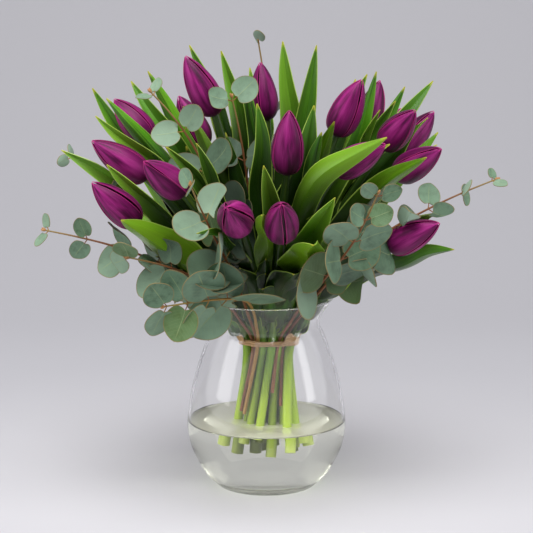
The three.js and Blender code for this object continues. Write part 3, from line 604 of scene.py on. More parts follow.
def addTube(pile, points, radius, sides, tone, slot=0, capSlot=None, ridges=0.0):
    # a round stem along points, with five ridges if any; the first end can have a finish of its own
    points = np.asarray(points, float)
    radius = np.broadcast_to(radius, len(points))
    angle = roundAngles(sides)
    swell = 1 + ridges * np.cos(5 * angle + tone * 9)
    sideways = np.array([1.0, 0.0, 0.0])
    rings = []
    for spot, ahead, r in zip(points, unit(np.gradient(points, axis=0)), radius):
        sideways = unit(sideways - ahead * (sideways @ ahead))
        other = np.cross(ahead, sideways)
        ring = np.outer(np.cos(angle), sideways) + np.outer(np.sin(angle), other)
        rings.append(spot + ring * (r * swell)[:, None])
    rows = len(points)
    run = np.concatenate([[0], np.cumsum(length(np.diff(points, axis=0)))])
    faces = quads(rows, sides, wrap=True)
    pile.add(np.concatenate(rings), faces, np.tile(np.arange(sides) / sides, rows),
             np.repeat(run / run[-1], sides), tone, 0, slot)
    pile.add(rings[0], [range(sides)[::-1]], 0.5, 0, tone, 1, slot if capSlot is None else capSlot)
    pile.add(rings[-1], [range(sides)], 0.5, 1, tone, 1, slot)


def maths(operation, swapped=False):
    def method(self, other=0.0):
        a, b = (other, self) if swapped else (self, other)
        return self.finish.node("ShaderNodeMath", {"operation": operation}, {0: a, 1: b})

    return method


class Tap:
    # an output of a finish's nodes; arithmetic on it adds Math nodes
    __add__ = __radd__ = maths("ADD")
    __sub__, __rsub__ = maths("SUBTRACT"), maths("SUBTRACT", swapped=True)
    __mul__ = __rmul__ = maths("MULTIPLY")
    __pow__, __abs__, wave = maths("POWER"), maths("ABSOLUTE"), maths("SINE")
    atLeast, atMost = maths("MAXIMUM"), maths("MINIMUM")

    def __init__(self, finish, socket):
        self.finish = finish
        self.socket = socket

    def rise(self, start, end):
        # 0 before start and 1 past end, with a soft step between
        return self.finish.node(
            "ShaderNodeMapRange", {"interpolation_type": "SMOOTHSTEP"}, {0: self, 1: start, 2: end}
        )


def rgb(red, green, blue):
    # a colour given as it shows on screen, from 0 to 255
    return tuple(
        (c / 255 / 12.92 if c < 11 else ((c / 255 + 0.055) / 1.055) ** 2.4)
        for c in (red, green, blue)
    ) + (1.0,)


class Finish:
    def __init__(self, name, **fixed):
        self.material = bpy.data.materials.new(name)
        self.material.use_nodes = True
        self.tree = self.material.node_tree
        self.shader = self.tree.nodes["Principled BSDF"]
        for key, value in fixed.items():
            self.shader.inputs[key].default_value = value

    def node(self, kind, settings=None, sockets=None, out=0):
        made = self.tree.nodes.new(kind)
        for key, value in (settings or {}).items():
            setattr(made, key, value)
        for key, value in (sockets or {}).items():
            if isinstance(value, Tap):
                self.tree.links.new(value.socket, made.inputs[key])
            else:
                made.inputs[key].default_value = value
        return Tap(self, made.outputs[out])

    def feed(self, key, tap):
        self.tree.links.new(tap.socket, self.shader.inputs[key])

    def mark(self, name, out="Fac"):
        # what the mesh carries at the surface point: its side or its depth in the bunch
        return self.node("ShaderNodeAttribute", {"attribute_name": name}, out=out)

    def parts(self, vector):
        return [self.node("ShaderNodeSeparateXYZ", {}, {0: vector}, k) for k in range(3)]

    def lay(self):
        # place across, place along and tone of the surface point
        return self.parts(self.mark("lay", "Vector"))

    def noise(self, x, y, z, detail=2.0):
        spot = self.node("ShaderNodeCombineXYZ", {}, {0: x, 1: y, 2: z})
        return self.node("ShaderNodeTexNoise", {}, {"Vector": spot, "Scale": 1.0, "Detail": detail})

    def blend(self, a, b, share):
        return self.node("ShaderNodeMix", {"data_type": "RGBA"}, {0: share, 6: a, 7: b}, 2)

    def paint(self, look, first, *layers):
        # colours of a look over a first one, each by its own share of the surface
        colour = look[first] if isinstance(first, str) else first
        for key, share in layers:
            colour = self.blend(colour, look[key], share)
        self.feed("Base Color", colour)

    def bump(self, height, strength, distance):
        bumped = self.node(
            "ShaderNodeBump", {}, {"Height": height, "Strength": strength, "Distance": distance}
        )
        self.feed("Normal", bumped)


petalLook = {
    "dark": rgb(54, 0, 40),
    "middle": rgb(140, 12, 104),
    "light": rgb(216, 80, 172),
    "edge": rgb(214, 60, 146),
    "base": rgb(58, 22, 38),
    "shade": rgb(18, 0, 12),
}


def makePetalFinish():
    finish = Finish("tulipPetal", **{
        "Roughness": 0.4, "Specular IOR Level": 0.22, "Sheen Weight": 0.03, "Sheen Roughness": 0.4,
    })
    across, along, tone = finish.lay()
    out = abs(across * 2 - 1)
    streak = finish.noise(across * 5, along * 1.6, tone * 40, 3.0)
    thread = finish.noise(across * 90, along * 2.6, tone * 40)
    inner = tone.rise(1.2, 1.6)  # the petals inside count their tone from 2
    # painted shade on the side of each petal that goes under its neighbour, and some petals darker
    # by their random tone
    shadedSideAndTone = across.rise(0.55, 0.97) * 0.5 + (1 - tone).rise(0.45, 0.9) * 0.4
    brim = (out.rise(0.93, 1.0) * 0.6).atLeast(along.rise(0.94, 1.0) * 0.75)
    finish.paint(
        petalLook, "dark",
        ("middle", streak.rise(0.22, 0.6)),
        # painted highlight down the middle of each petal, along its streaks
        ("light", (1 - out).rise(0.1, 0.9) * streak.rise(0.35, 0.9) * 0.55),
        ("light", thread.rise(0.5, 0.8) * 0.28),
        ("dark", shadedSideAndTone.atMost(0.68)),
        ("dark", along.rise(0.5, 0.0) * 0.5),
        ("base", along.rise(0.16, 0.0) * 0.6),
        ("shade", finish.mark("depth").rise(0.2, 0.6) * 0.6),
        ("shade", inner * along.rise(0.99, 0.8) * 0.9),
        ("edge", brim * (1 - inner * 0.8)),
    )
    finish.bump(thread * 0.6 + streak * 0.8, 0.35, 0.0006)
    return finish.material


leafLook = {
    "deep": rgb(16, 62, 2),
    "middle": rgb(84, 158, 6),
    "light": rgb(178, 232, 48),
    "bloomed": rgb(100, 152, 54),
    "edge": rgb(182, 212, 92),
    "tip": rgb(206, 200, 62),
    # root is the dark of the painted shade on the leaves
    "root": rgb(8, 30, 2),
}


def makeLeafFinish():
    finish = Finish("tulipLeaf", **{"Roughness": 0.3, "Specular IOR Level": 0.42})
    across, along, tone = finish.lay()
    broad = finish.noise(across * 3, along * 2.2, tone * 30, 3.0)
    rib = finish.noise(across * 46, along * 1.2, tone * 30, 1.0)
    wide = tone.rise(1.05, 1.15) * tone.rise(1.6, 1.4)  # filling leaves have a tone over 2
    finish.paint(
        leafLook, "deep",
        ("middle", broad.rise(0.28, 0.66)),
        ("light", rib.rise(0.5, 0.82) * 0.45),
        # lighter by each leaf's random tone, and painted light on the wide leaves, which carry a
        # tone of 1.2
        ("light", tone.rise(0.3, 1.0) * tone.rise(1.6, 1.4) * 0.55),
        ("bloomed", finish.mark("side") * 0.45 + broad.rise(0.5, 0.8) * 0.2),
        # painted shade on one half of the folded blade, as if it were turned from the light
        ("deep", across.rise(0.47, 0.53) * 0.28),
        # painted shade towards each leaf's root, over the filling leaves and towards the heart of
        # the bunch, less on wide leaves
        ("root", along.rise(0.78, 0.14) * (0.84 - wide * 0.4)),
        ("root", tone.rise(1.6, 1.9) * 0.35),
        ("root", finish.mark("depth").rise(0.12, 0.55) * (0.85 - wide * 0.5)),
        ("edge", abs(across * 2 - 1).rise(0.91, 0.99) * 0.7),
        ("tip", along.rise(0.965, 1.0) * 0.8),
    )
    finish.bump(rib, 0.3, 0.0008)
    return finish.material


stemLook = {
    "top": rgb(56, 92, 20),
    "middle": rgb(110, 158, 16),
    "low": rgb(178, 208, 50),
    "pale": rgb(220, 234, 132),
    "cut": rgb(222, 234, 160),
    "olive": rgb(84, 118, 34),
    "heart": rgb(20, 40, 8),
}


def makeStemFinish():
    finish = Finish("tulipStem", **{"Roughness": 0.36, "Specular IOR Level": 0.5})
    across, along, tone = finish.lay()
    streak = finish.noise(across * 12, along * 9, tone * 20, 3.0)
    finish.paint(
        stemLook, "low",
        ("middle", along.rise(0.08, 0.34)),
        ("low", (1 - tone).rise(0.5, 0.9) * 0.6),
        ("olive", tone.rise(0.6, 0.85) * 0.8),
        ("top", along.rise(0.3, 0.5)),
        ("pale", along.rise(0.06, 0.0) * 0.8),
        ("low", streak.rise(0.45, 0.8) * 0.35),
        ("top", (1 - streak).rise(0.6, 0.8) * 0.3),
        # painted shade towards the heart of the bunch and the middle of the bundle below the tie
        ("heart", finish.mark("depth").rise(0.2, 0.52) * 0.75),
    )
    finish.bump(streak, 0.25, 0.0008)
    return finish.material


eucalyptusLook = {
    "deep": rgb(54, 84, 60),
    "middle": rgb(96, 130, 102),
    "heart": rgb(20, 38, 22),
    "dusty": rgb(152, 178, 152),
    "under": rgb(164, 190, 168),
    "fresh": rgb(104, 130, 58),
    "vein": rgb(160, 176, 124),
    "rim": rgb(150, 124, 70),
}


def makeEucalyptusFinish():
    finish = Finish("eucalyptusLeaf", **{"Roughness": 0.55, "Specular IOR Level": 0.35})
    across, along, tone = finish.lay()
    x, y = across * 2 - 1, along * 2 - 1
    cloud = finish.noise(across * 4, along * 4, tone * 60, 3.0)
    midrib = (1 - abs(x) * 26).atLeast(0.0) * (1 - y).rise(0.0, 0.6)
    comb = abs(((y - abs(x) * 0.75) * 15 + cloud * 2).wave())
    sideVein = (1 - comb * 5).atLeast(0.0) * (1 - abs(x)).rise(0.1, 0.5)
    veins = midrib.atLeast(sideVein * 0.4)
    finish.paint(
        eucalyptusLook, "deep",
        ("middle", cloud.rise(0.2, 0.6)),
        ("dusty", tone * 0.75),
        ("fresh", (1 - tone).rise(0.78, 1.0) * 0.6),
        ("under", finish.mark("side") * 0.75),
        ("vein", veins * 0.65),
        ("rim", ((x ** 2 + y ** 2) ** 0.5).rise(0.93, 1.0) * 0.8),
        # painted shade towards the heart of the bunch
        ("heart", finish.mark("depth").rise(0.15, 0.6) * 0.75),
    )
    finish.bump(veins, 0.25, 0.0004)
    return finish.material


twigLook = {
    "bark": (rgb(106, 60, 32), rgb(150, 94, 50)),
    "ochre": (rgb(150, 112, 50), rgb(178, 138, 66)),
    "tip": rgb(146, 132, 74),
    "bud": rgb(176, 128, 78),
}


def makeTwigFinish():
    finish = Finish("eucalyptusTwig", Roughness=0.6)
    across, along, tone = finish.lay()
    grain = finish.noise(across * 6, along * 30, tone * 10, 3.0)
    bark = finish.blend(*twigLook["bark"], grain)
    colour = finish.blend(bark, finish.blend(*twigLook["ochre"], grain), tone.rise(0.3, 0.9))
    finish.paint(twigLook, colour, ("tip", along.rise(0.82, 1.0) * 0.7))
    return finish.material


fibreLook = {"dark": rgb(146, 106, 66), "light": rgb(212, 174, 126)}


def makeRaffiaFinish():
    finish = Finish("raffia", Roughness=0.75)
    across, along, tone = finish.lay()
    fibre = finish.noise(across * 10, along * 60, tone * 20)
    finish.paint(fibreLook, "dark", ("light", fibre.rise(0.3, 0.7)))
    finish.bump(fibre, 0.4, 0.0006)
    return finish.material


# light bends by the step from one stuff to the next: air to glass, glass to water, water to air
clearLook = {
    "clearGlass": {
        "colour": (0.985, 0.995, 0.99, 1), "bend": 1.47, "shine": (0.93, 0.94, 0.94, 1),
        "straight": 0.12,
    },
    "dryGlass": {
        "colour": (0.99, 0.99, 0.99, 1), "bend": 1.04, "shine": (0.96, 0.97, 0.97, 1), "coat": 0.8,
    },
    "wetGlass": {"colour": (1, 1, 1, 1), "bend": 1.105, "shine": (0.97, 0.98, 0.97, 1)},
    # the water's top shows part of a dull pale sheet, painted light in place of the pale look of
    # its surface
    "water": {
        "colour": (0.97, 0.975, 0.89, 1), "bend": 1.3, "shine": (0.96, 0.97, 0.93, 1),
        "paintedLightShare": 0.42, "sheet": rgb(238, 236, 206),
    },
    "waterSide": {"colour": (0.995, 1.0, 0.9, 1), "bend": 1.0, "shine": (0.96, 0.97, 0.93, 1)},
}


def makeClearFinish(name, colour, bend, shine, coat=0.0, straight=0.0, paintedLightShare=0.0, sheet=None):
    # lamps shine through it in one colour, without a dark shadow; straight is the share of the view
    # that isn't bent, and the painted light share shows a dull sheet, lit by the lamps, for the
    # pale water top
    finish = Finish(name, **{
        "Base Color": colour, "Roughness": 0.0, "IOR": bend, "Transmission Weight": 1.0,
        "Coat Weight": coat, "Coat Roughness": 0.0, "Coat IOR": 1.5,
    })
    shadow = finish.node("ShaderNodeLightPath", out="Is Shadow Ray")
    lit = finish.node("ShaderNodeBsdfTransparent", {}, {0: shine})
    through = Tap(finish, finish.shader.outputs[0])
    if paintedLightShare:
        dull = finish.node("ShaderNodeBsdfDiffuse", {}, {"Color": sheet})
        through = finish.node("ShaderNodeMixShader", {}, {0: paintedLightShare, 1: through, 2: dull})
    share = shadow.atLeast(straight)
    mixed = finish.node("ShaderNodeMixShader", {}, {0: share, 1: through, 2: lit})
    finish.tree.links.new(mixed.socket, finish.tree.nodes["Material Output"].inputs["Surface"])
    return finish.material


def makePlainFinish(name, colour, roughness):
    return Finish(name, **{"Base Color": colour, "Roughness": roughness}).material


petalFinish = makePetalFinish()
leafFinish = makeLeafFinish()
stemFinish = makeStemFinish()
cutFinish = makePlainFinish("cutStem", stemLook["cut"], 0.5)
roundLeafFinish = makeEucalyptusFinish()
twigFinish = makeTwigFinish()
budFinish = makePlainFinish("eucalyptusBud", twigLook["bud"], 0.6)
raffiaFinish = makeRaffiaFinish()
clear = {name: makeClearFinish(name, **look) for name, look in clearLook.items()}
print("finishes made")


def place(piece, slot, *nodes):
    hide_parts(*nodes)
    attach(piece, "root")


glassLook = {
    "foot": [(0, 0.8), (30, 0.8), (38, 0.5), (42, 0.0), (45, 0.0), (47.6, 0.35)],
    "sides": 192, "steps": 110, "rimSteps": 9, "sharp": 60,
    "meniscus": 1.6, "creep": 5, "creepSteps": 7, "overlap": 0.35,
    "flat": 0.6, "edgeAt": 1, "edgeIn": 2, "floorEdge": ((-7, 0.2), (-1, 0.9), (1.6, 2.6)),
    "sidesFrom": 5,
}


def addLathe(pile, profile, pick):
    # a round solid from a profile of (radius, height) that starts and ends on the axis; pick
    # gives the finish of the band after each point
    sides = glassLook["sides"]
    spoke = spokesAt(roundAngles(sides))
    inner = profile[1:-1]
    rings = [np.column_stack([r * spoke, np.full(sides, z)]) for r, z in inner]
    rows = len(rings)
    points = np.concatenate(rings + [[[0, 0, profile[0][1]], [0, 0, profile[-1][1]]]])
    faces = quads(rows, sides, wrap=True).tolist()
    first, last, top = rows * sides, rows * sides + 1, (rows - 1) * sides
    for k in range(sides):
        following = (k + 1) % sides
        faces.append((first, following, k))
        faces.append((last, top + k, top + following))
    bands = [pick(k, inner[k][1]) for k in range(rows - 1)]
    caps = [pick(-1, profile[0][1]), pick(rows - 1, profile[-1][1])]
    slots = np.concatenate([np.repeat(bands, sides), np.tile(caps, sides)])
    pile.add(points, faces, 0.5, 0.5, 0.0, 0.0, slots)


def bowl(inner, over, top):
    # the inside of the vase, from the middle of its floor up to top; water goes a little past it
    low = vaseShape["floor"]
    edge = radiusAt(inner, low + glassLook["edgeAt"]) - glassLook["edgeIn"]
    (x, z), *bend = glassLook["floorEdge"]
    floor = [(0, low - over), (edge * glassLook["flat"], low - over), (edge + x, low + z - over)]
    rounded = [(edge + x + over, low + z - over) for x, z in bend]
    side = [(r + over, z) for r, z in inner if low + glassLook["sidesFrom"] < z < top]
    return floor + rounded + side


def makeGlass():
    outer, inner = glassProfile(sharesOf(glassLook["steps"] + 1))
    half = vaseShape["wall"] / 2
    profile = glassLook["foot"] + [tuple(p) for p in outer[:-1]]
    top, under = outer[-1], inner[-1]
    middle, ahead, out = (top + under) / 2, unit(top - outer[-2]), unit(top - under)
    for turn in np.linspace(0, math.pi, glassLook["rimSteps"]):  # the rim is rounded over
        spot = middle + out * math.cos(turn) * half + ahead * math.sin(turn) * half
        profile.append((spot[0], min(spot[1], rimHeight) if turn else spot[1]))
    hollowFrom = len(profile) - 2
    profile += bowl(inner, 0, under[1])[::-1]
    level = vaseShape["waterLine"] + glassLook["meniscus"]

    def pick(k, height):
        # wet glass inside under the water line, dry glass above the line, clear glass elsewhere
        if k > hollowFrom and height < level:
            return 2
        return 1 if level < height < rimHeight - half else 0

    pile = Pile()
    addLathe(pile, profile, pick)
    stuffs = [clear["clearGlass"], clear["dryGlass"], clear["wetGlass"]]
    place(pile.mesh("glass_vase", stuffs, glassLook["sharp"]), "glass", "vase")
    return inner


def makeWater(inner):
    level, over = vaseShape["waterLine"], glassLook["overlap"]
    profile = bowl(inner, over, level + 1)
    wallRadius = radiusAt(inner, level)
    for share in sharesOf(glassLook["creepSteps"]):  # it creeps up the glass a little
        height = level + glassLook["meniscus"] * (1 - share) ** 3
        profile.append((wallRadius + over - glassLook["creep"] * share, height))
    profile += [(wallRadius * glassLook["flat"], level), (0, level)]
    pile = Pile()
    addLathe(pile, profile, lambda k, height: int(height < level))
    stuffs = [clear["water"], clear["waterSide"]]
    place(pile.mesh("water_body", stuffs, glassLook["sharp"]), "water", "water")


makeWater(makeGlass())
print("glass and water made")

# strands wound round the stems, and the ribbon's ends, which fray upwards at either side
raffiaLook = {
    "strands": 5, "turnsHeight": 4.2, "radius": 0.8, "uneven": 0.2, "swells": 40, "loose": 0.5,
    "sides": 72, "strandSides": 8, "sway": (0.35, 0.25), "swayWaves": (2, 5), "sharp": 50,
    "flares": (205, 322), "spread": 16, "columns": 9, "rows": 6, "off": 1.2, "lift": 1,
    "long": 8, "jagged": 3, "teeth": (0.4, 7.4), "away": 4.5, "curl": 0.7, "curls": (5, 1.7),
    "half": 0.25,
}


def outermost(circles, spoke):
    return (circles[:, :2] @ spoke.T + circles[:, 2:]).max(0)


def hullRound(circles, gap, sides):
    # the outline that a band takes round the stems
    spoke = spokesAt(roundAngles(sides))
    far = outermost(circles, spoke) + gap
    following, nextFar = np.roll(spoke, -1, 0), np.roll(far, -1)
    cross = spoke[:, 0] * following[:, 1] - spoke[:, 1] * following[:, 0]
    x = (far * following[:, 1] - nextFar * spoke[:, 1]) / cross
    y = (spoke[:, 0] * nextFar - following[:, 0] * far) / cross
    return np.stack([x, y], 1)


def addStrand(pile, circles, share, chance):
    gap = tieShape["gap"] + raffiaLook["radius"] + chance(0, raffiaLook["loose"])
    loop = hullRound(circles, gap, raffiaLook["sides"])
    loop = (loop + np.roll(loop, 1, 0) + np.roll(loop, -1, 0)) / 3
    angle = roundAngles(len(loop))
    slow, quick = (
        height * np.sin(angle * waves + chance(0, 6))
        for height, waves in zip(raffiaLook["sway"], raffiaLook["swayWaves"])
    )
    level = tieShape["height"] + share * raffiaLook["turnsHeight"]
    course = np.column_stack([loop, level + (slow + quick)])
    course = np.concatenate([course, course[:1]])
    uneven = 1 + raffiaLook["uneven"] * np.sin(np.linspace(0, raffiaLook["swells"], len(course)))
    addTube(pile, course, raffiaLook["radius"] * uneven, raffiaLook["strandSides"], chance(0, 1))


def addFlare(pile, circles, degrees, chance):
    columns, wide = raffiaLook["columns"], raffiaLook["spread"]
    spoke = spokesAt(np.radians(degrees + np.linspace(-wide, wide, columns)))
    far = outermost(circles, spoke) + tieShape["gap"] + raffiaLook["off"]
    rise = sharesOf(raffiaLook["rows"])[:, None]
    teeth = np.sin(np.linspace(*raffiaLook["teeth"], columns))
    waves = raffiaLook["long"] + raffiaLook["jagged"] * teeth
    fray = waves - raffiaLook["jagged"] * np.abs(np.linspace(-1, 1, columns)) ** 3
    up, around = raffiaLook["curls"]
    curl = raffiaLook["curl"] * np.sin(rise * up + np.arange(columns) * around)
    away = far + rise * raffiaLook["away"] + curl
    z = tieShape["height"] + raffiaLook["lift"] + rise * fray
    grid = np.stack([away * spoke[:, 0], away * spoke[:, 1], z], -1)
    half = raffiaLook["half"]
    addSheet(pile, grid, sharesOf(columns), rise, chance(0, 1), -half, half)


def makeTie():
    circles = []
    for plant in plants:
        for far in (plant.foot, plant.points[1]):
            share = tieShape["band"] / 2 / abs(far[2] - tieShape["height"])
            edge = plant.tie + (far - plant.tie) * share
            circles.append((edge[0], edge[1], plant.radius))
    circles = np.array(circles)
    pile = Pile()
    chance = makeChance(31)
    for strand in range(raffiaLook["strands"]):
        addStrand(pile, circles, strand / (raffiaLook["strands"] - 1) - 0.5, chance)
    for degrees in raffiaLook["flares"]:
        addFlare(pile, circles, degrees, chance)
    place(pile.mesh("raffia_tie", [raffiaFinish], raffiaLook["sharp"]), "raffia", "tie")


makeTie()
print("tie made")

petalShape = {
    "rows": 26,
    "columns": 15,
    "thick": 0.7,
    "level": [0, 0.04, 0.15, 0.38, 0.72, 0.92, 1],
    "outer": {
        "radius": [0.26, 0.54, 0.83, 0.94, 0.67, 0.29, 0.06],
        "spread": [56, 57, 58, 58, 55, 42, 6],
    },
    "inner": {
        "radius": [0.2, 0.42, 0.66, 0.75, 0.52, 0.22, 0.03],
        "spread": [50, 50, 50, 50, 48, 38, 5],
    },
    "open": (0.93, 1.0),
    "wander": 4,
    "skew": 0.02,
    "round": 0.05,
    "ripple": 0.012,
    "ripples": (7, 12),
    "lip": 0.035,
    "lipFrom": 0.84,
    "lipWidth": 0.16,
    "innerTop": 0.975,
    "outerTop": (0.985, 1.0),
}


def addPetal(pile, plant, inner, third, chance):
    form = petalShape["inner" if inner else "outer"]
    level = (1 - np.cos(sharesOf(petalShape["rows"]) * math.pi)) / 2
    u = np.linspace(-1, 1, petalShape["columns"])
    radius = easeThrough(level, petalShape["level"], form["radius"])[:, None]
    spread = easeThrough(level, petalShape["level"], form["spread"])[:, None]
    wander, skew = petalShape["wander"], petalShape["skew"]
    middle = plant.turn + 120 * third + (60 if inner else 0) + chance(-wander, wander)
    dip = petalShape["round"] * np.abs(u) ** 3 + chance(-skew, skew) * u
    wide = 1 if inner else chance(*petalShape["open"])
    angle = np.radians(middle + spread * wide * u)
    wave = np.sin(level[:, None] * chance(*petalShape["ripples"]) + chance(0, 6))
    ripple = petalShape["ripple"] * wave * np.abs(u) ** 2
    brim = np.clip((np.abs(u) - petalShape["lipFrom"]) / petalShape["lipWidth"], 0, 1)
    lip = 0 if inner else petalShape["lip"] * brim ** 2
    r = plant.width / 2 * radius * (1 - dip + ripple + lip)
    tall = level * (petalShape["innerTop"] if inner else chance(*petalShape["outerTop"]))
    z = plant.long * tall[:, None] * np.ones_like(u)
    lift = Vector((0, 0, 1)).rotation_difference(Vector(plant.lean)).to_matrix()
    grid = np.stack([r * np.cos(angle), r * np.sin(angle), z], -1) @ np.array(lift).T + plant.base
    addSheet(pile, grid, (u + 1) / 2, level[:, None], chance(0, 1) + 2 * inner,
             0.0, petalShape["thick"])


def makeBloom(plant, chance):
    pile = Pile()
    for inner in (True, False):
        for third in range(3):
            addPetal(pile, plant, inner, third, chance)
    place(pile.mesh(plant.name + "_flower", [petalFinish]), "petal", plant.name + "_bloom")


bloomChance = makeChance(11)
for plant in tulipPlants:
    makeBloom(plant, bloomChance)
print("blooms made")

# the run and outline of a leaf, from its root to its tip, as in the solids
blade = {
    "root": 132, "rootStep": 12, "rootWidth": 1.6, "tipWidth": 1.0, "standOff": 1.9, "ahead": 30,
    "siblingGap": 0.7, "widest": 0.4, "swing": 1.3, "turnRoom": 0.55, "beside": 0.6, "middle": 3,
    "shoulder": 1.2, "taper": 2.6, "hollow": 1.2,
    "stations": [0, 0.08, 0.32, 0.56, 0.79, 1], "fold": [0, 10, 22, 36, 38, 32],
}
stations = np.array(blade["stations"])
# and what is finer here: leaves under narrow come out broader, and those over wide get a tone for
# painted light
leafShape = {
    "rows": 30, "columns": 11, "thick": 0.7, "rowEase": 0.9, "smoothing": (4, 3),
    "narrow": 34, "broader": 1.15, "wide": 36.5, "wideTone": 1.2, "widest": 40, "wideLap": 2.4,
    "wave": 0.05, "big": 27, "bigWave": 2.2, "pitch": (9, 14), "slant": 1.2,
}
# short leaves that fill the bunch round each stem
filling = {
    "leaves": 4, "root": (92, 128), "reach": (0.5, 0.92), "swing": (14, 36), "width": (24, 38),
    "spin": (-80, 80), "overRim": 20,
}
# and scraps of leaf between the stems in the neck
scrap = {"root": (86, 100), "long": (22, 34), "swing": (5, 9), "width": (9, 14), "spin": (-90, 90)}
# which way the round leaves and the backs of the blades face
facing = {"centre": np.array([0.0, 0.0, 230.0]), "broadside": 0.9}


def outOfBouquet(points):
    away = unit(points - facing["centre"])
    away[..., 1] += np.where(points[..., 1] < 0, -facing["broadside"], facing["broadside"])
    return away


def leafSpine(plant, leaf, root):
    # a midrib that follows its stem and swings out from it, past the bloom, to the tip
    tip = np.array(leaf[:3], float)
    tipReach = fanReach(tip)
    swing = tip - axisAt(plant, np.array([tipReach]))[0]
    spread = length(swing)
    swing = swing / spread
    distance = root + (tipReach - root) * stations
    own = axisAt(plant, distance)
    widest = np.maximum(girths(distance), girths(distance + blade["ahead"]))[plant.order]
    sideways = np.sqrt(1 - (unit(outOfBouquet(own)) @ swing) ** 2)
    beside = blade["beside"] * sideways * bladeHalfWidth(stations, leaf[3])
    clearance = (widest + blade["standOff"] + beside) * np.minimum(1, stations / stations[1])
    swung = np.maximum(spread * stations ** blade["swing"], clearance)
    line = own + swung[:, None] * swing
    line[-1] = tip
    reached = fanReach(line)
    spine = {"line": line, "reach": reached, "swing": swing, "root": root, "tip": tip,
             "tipReach": tipReach, "swung": np.append(swung[:-1], spread), "width": leaf[3]}
    spine["out"] = length(line - axisAt(plant, reached))
    spine["turn"] = bladeTurns(plant, spine, leaf[3])
    return spine


def bladeTurns(plant, spine, width):
    # how far the blade turns its back outwards at each station, as far as it has room
    line = spine["line"]
    steps = np.concatenate([line[1:2] - line[:1], line[2:] - line[:-2], line[-1:] - line[-2:-1]])
    along = unit(steps)
    inward = squareTo(-spine["swing"] * np.ones_like(line), along)
    wanted = squareTo(outOfBouquet(line), along)
    if inward[blade["middle"]] @ wanted[blade["middle"]] < 0:
        wanted = -wanted
    full = np.arctan2((along * np.cross(inward, wanted)).sum(-1), (inward * wanted).sum(-1))
    girth = girths(spine["reach"])[plant.order]
    space = (spine["out"] - blade["turnRoom"] * girth) / bladeHalfWidth(stations, width)
    most = np.arcsin(np.clip(space, 0, 1))
    return np.clip(full, -most, most)


def keepFromSiblings(points, own, siblings):
    # leaves of one stem share its axis, so each keeps to its side of a sibling's midrib
    distance = fanReach(points)
    centre = axesAt(own["line"][None], own["reach"][None], distance)[0]
    offset = unit(points - centre)
    for other in siblings:
        if other is own:
            continue
        apart = axesAt(other["line"][None], other["reach"][None], distance)[0] - centre
        along = (apart * offset).sum(-1)
        towards = (along > 1e-6) & (distance > other["reach"][0])
        limit = (apart ** 2).sum(-1) / (2 * np.where(towards, along, 1)) - blade["siblingGap"]
        limit = np.maximum(room["least"], limit)
        held = towards & (length(points - centre) > limit)
        points = np.where(held[:, None], centre + offset * limit[:, None], points)
    return points


def bladeHalfWidth(share, width):
    grow = np.sin(np.clip(share / blade["widest"], 0, 1) ** blade["shoulder"] * math.pi / 2)
    narrow = 1 - np.clip((share - blade["widest"]) / (1 - blade["widest"]), 0, 1) ** blade["taper"]
    low = blade["rootWidth"] + (width - blade["rootWidth"]) * grow
    high = blade["tipWidth"] + (width - blade["tipWidth"]) * narrow
    return np.where(share < blade["widest"], low, high) / 2


def smooth(points, times):
    for _ in range(times):
        points[1:-1] = (points[:-2] + 2 * points[1:-1] + points[2:]) / 4


def addLeaf(pile, plant, spine, siblings, chance):
    width = spine["width"] * (leafShape["broader"] if spine["width"] < leafShape["narrow"] else 1)
    share = sharesOf(leafShape["rows"]) ** leafShape["rowEase"]
    distance = spine["root"] + (spine["tipReach"] - spine["root"]) * share
    out = easeThrough(share, stations, spine["swung"])
    line = axisAt(plant, distance) + out[:, None] * spine["swing"]
    line[-1] = spine["tip"]
    smooth(line, leafShape["smoothing"][0])
    along = unit(np.gradient(line, axis=0))
    inward = squareTo(-spine["swing"] * np.ones_like(line), along)
    turn = easeThrough(share, stations, spine["turn"])[:, None]
    inward = inward * np.cos(turn) + np.cross(along, inward) * np.sin(turn)
    sideway = np.cross(along, inward)
    fold = np.radians(easeThrough(share, stations, blade["fold"]))
    half = bladeHalfWidth(share, width)
    column = np.linspace(-1, 1, leafShape["columns"])
    sideways = (half * np.cos(fold))[:, None] * column
    inwards = (half * np.sin(fold))[:, None] * np.abs(column) ** blade["hollow"]
    waves = leafShape["wave"] * (leafShape["bigWave"] if width > leafShape["big"] else 1) * width
    phase, pitch = chance(0, 6), chance(*leafShape["pitch"])
    ripple = np.sin(share[:, None] * pitch + phase + column * leafShape["slant"])
    ripple = ripple * np.abs(column) ** 3
    inwards = inwards + waves * ripple * np.sin(share * math.pi)[:, None] * 0.5
    grid = line[:, None] + sideway[:, None] * sideways[..., None]
    grid = grid + inward[:, None] * inwards[..., None]
    wide = bool(siblings) and width > leafShape["wide"]
    lap = leafShape["wideLap"] if wide and width > leafShape["widest"] else room["lap"]
    points = keepFromSiblings(grid[1:].reshape(-1, 3), spine, siblings)
    grid[1:] = settle(points, plant, lap).reshape(-1, len(column), 3)
    smooth(grid, leafShape["smoothing"][1])
    tone = chance(0, 1) + (0 if siblings else 2)  # a filling leaf counts its tone from 2
    half = leafShape["thick"] / 2
    addSheet(pile, grid, (column + 1) / 2, share[:, None], leafShape["wideTone"] if wide else tone,
             -half, half, 1)


def besideStem(plant, distance, extra, vary):
    # the tip of an extra leaf, beside its stem at that distance
    spot = axisAt(plant, [distance])[0]
    out = turned(squareTo(outOfBouquet(spot), plant.lean), plant.lean, vary(*extra["spin"]))
    return spot + out * vary(*extra["swing"])


def fillingLeaves(plant, vary):
    top = fanReach(plant.base)
    for _ in range(filling["leaves"]):
        root = vary(*filling["root"])
        tip = besideStem(plant, root + (top - root) * vary(*filling["reach"]), filling, vary)
        if tip[2] > rimHeight + filling["overRim"]:
            yield root, (*tip, vary(*filling["width"]))
    root = vary(*scrap["root"])
    tip = besideStem(plant, root + vary(*scrap["long"]), scrap, vary)
    yield root, (*tip, vary(*scrap["width"]))


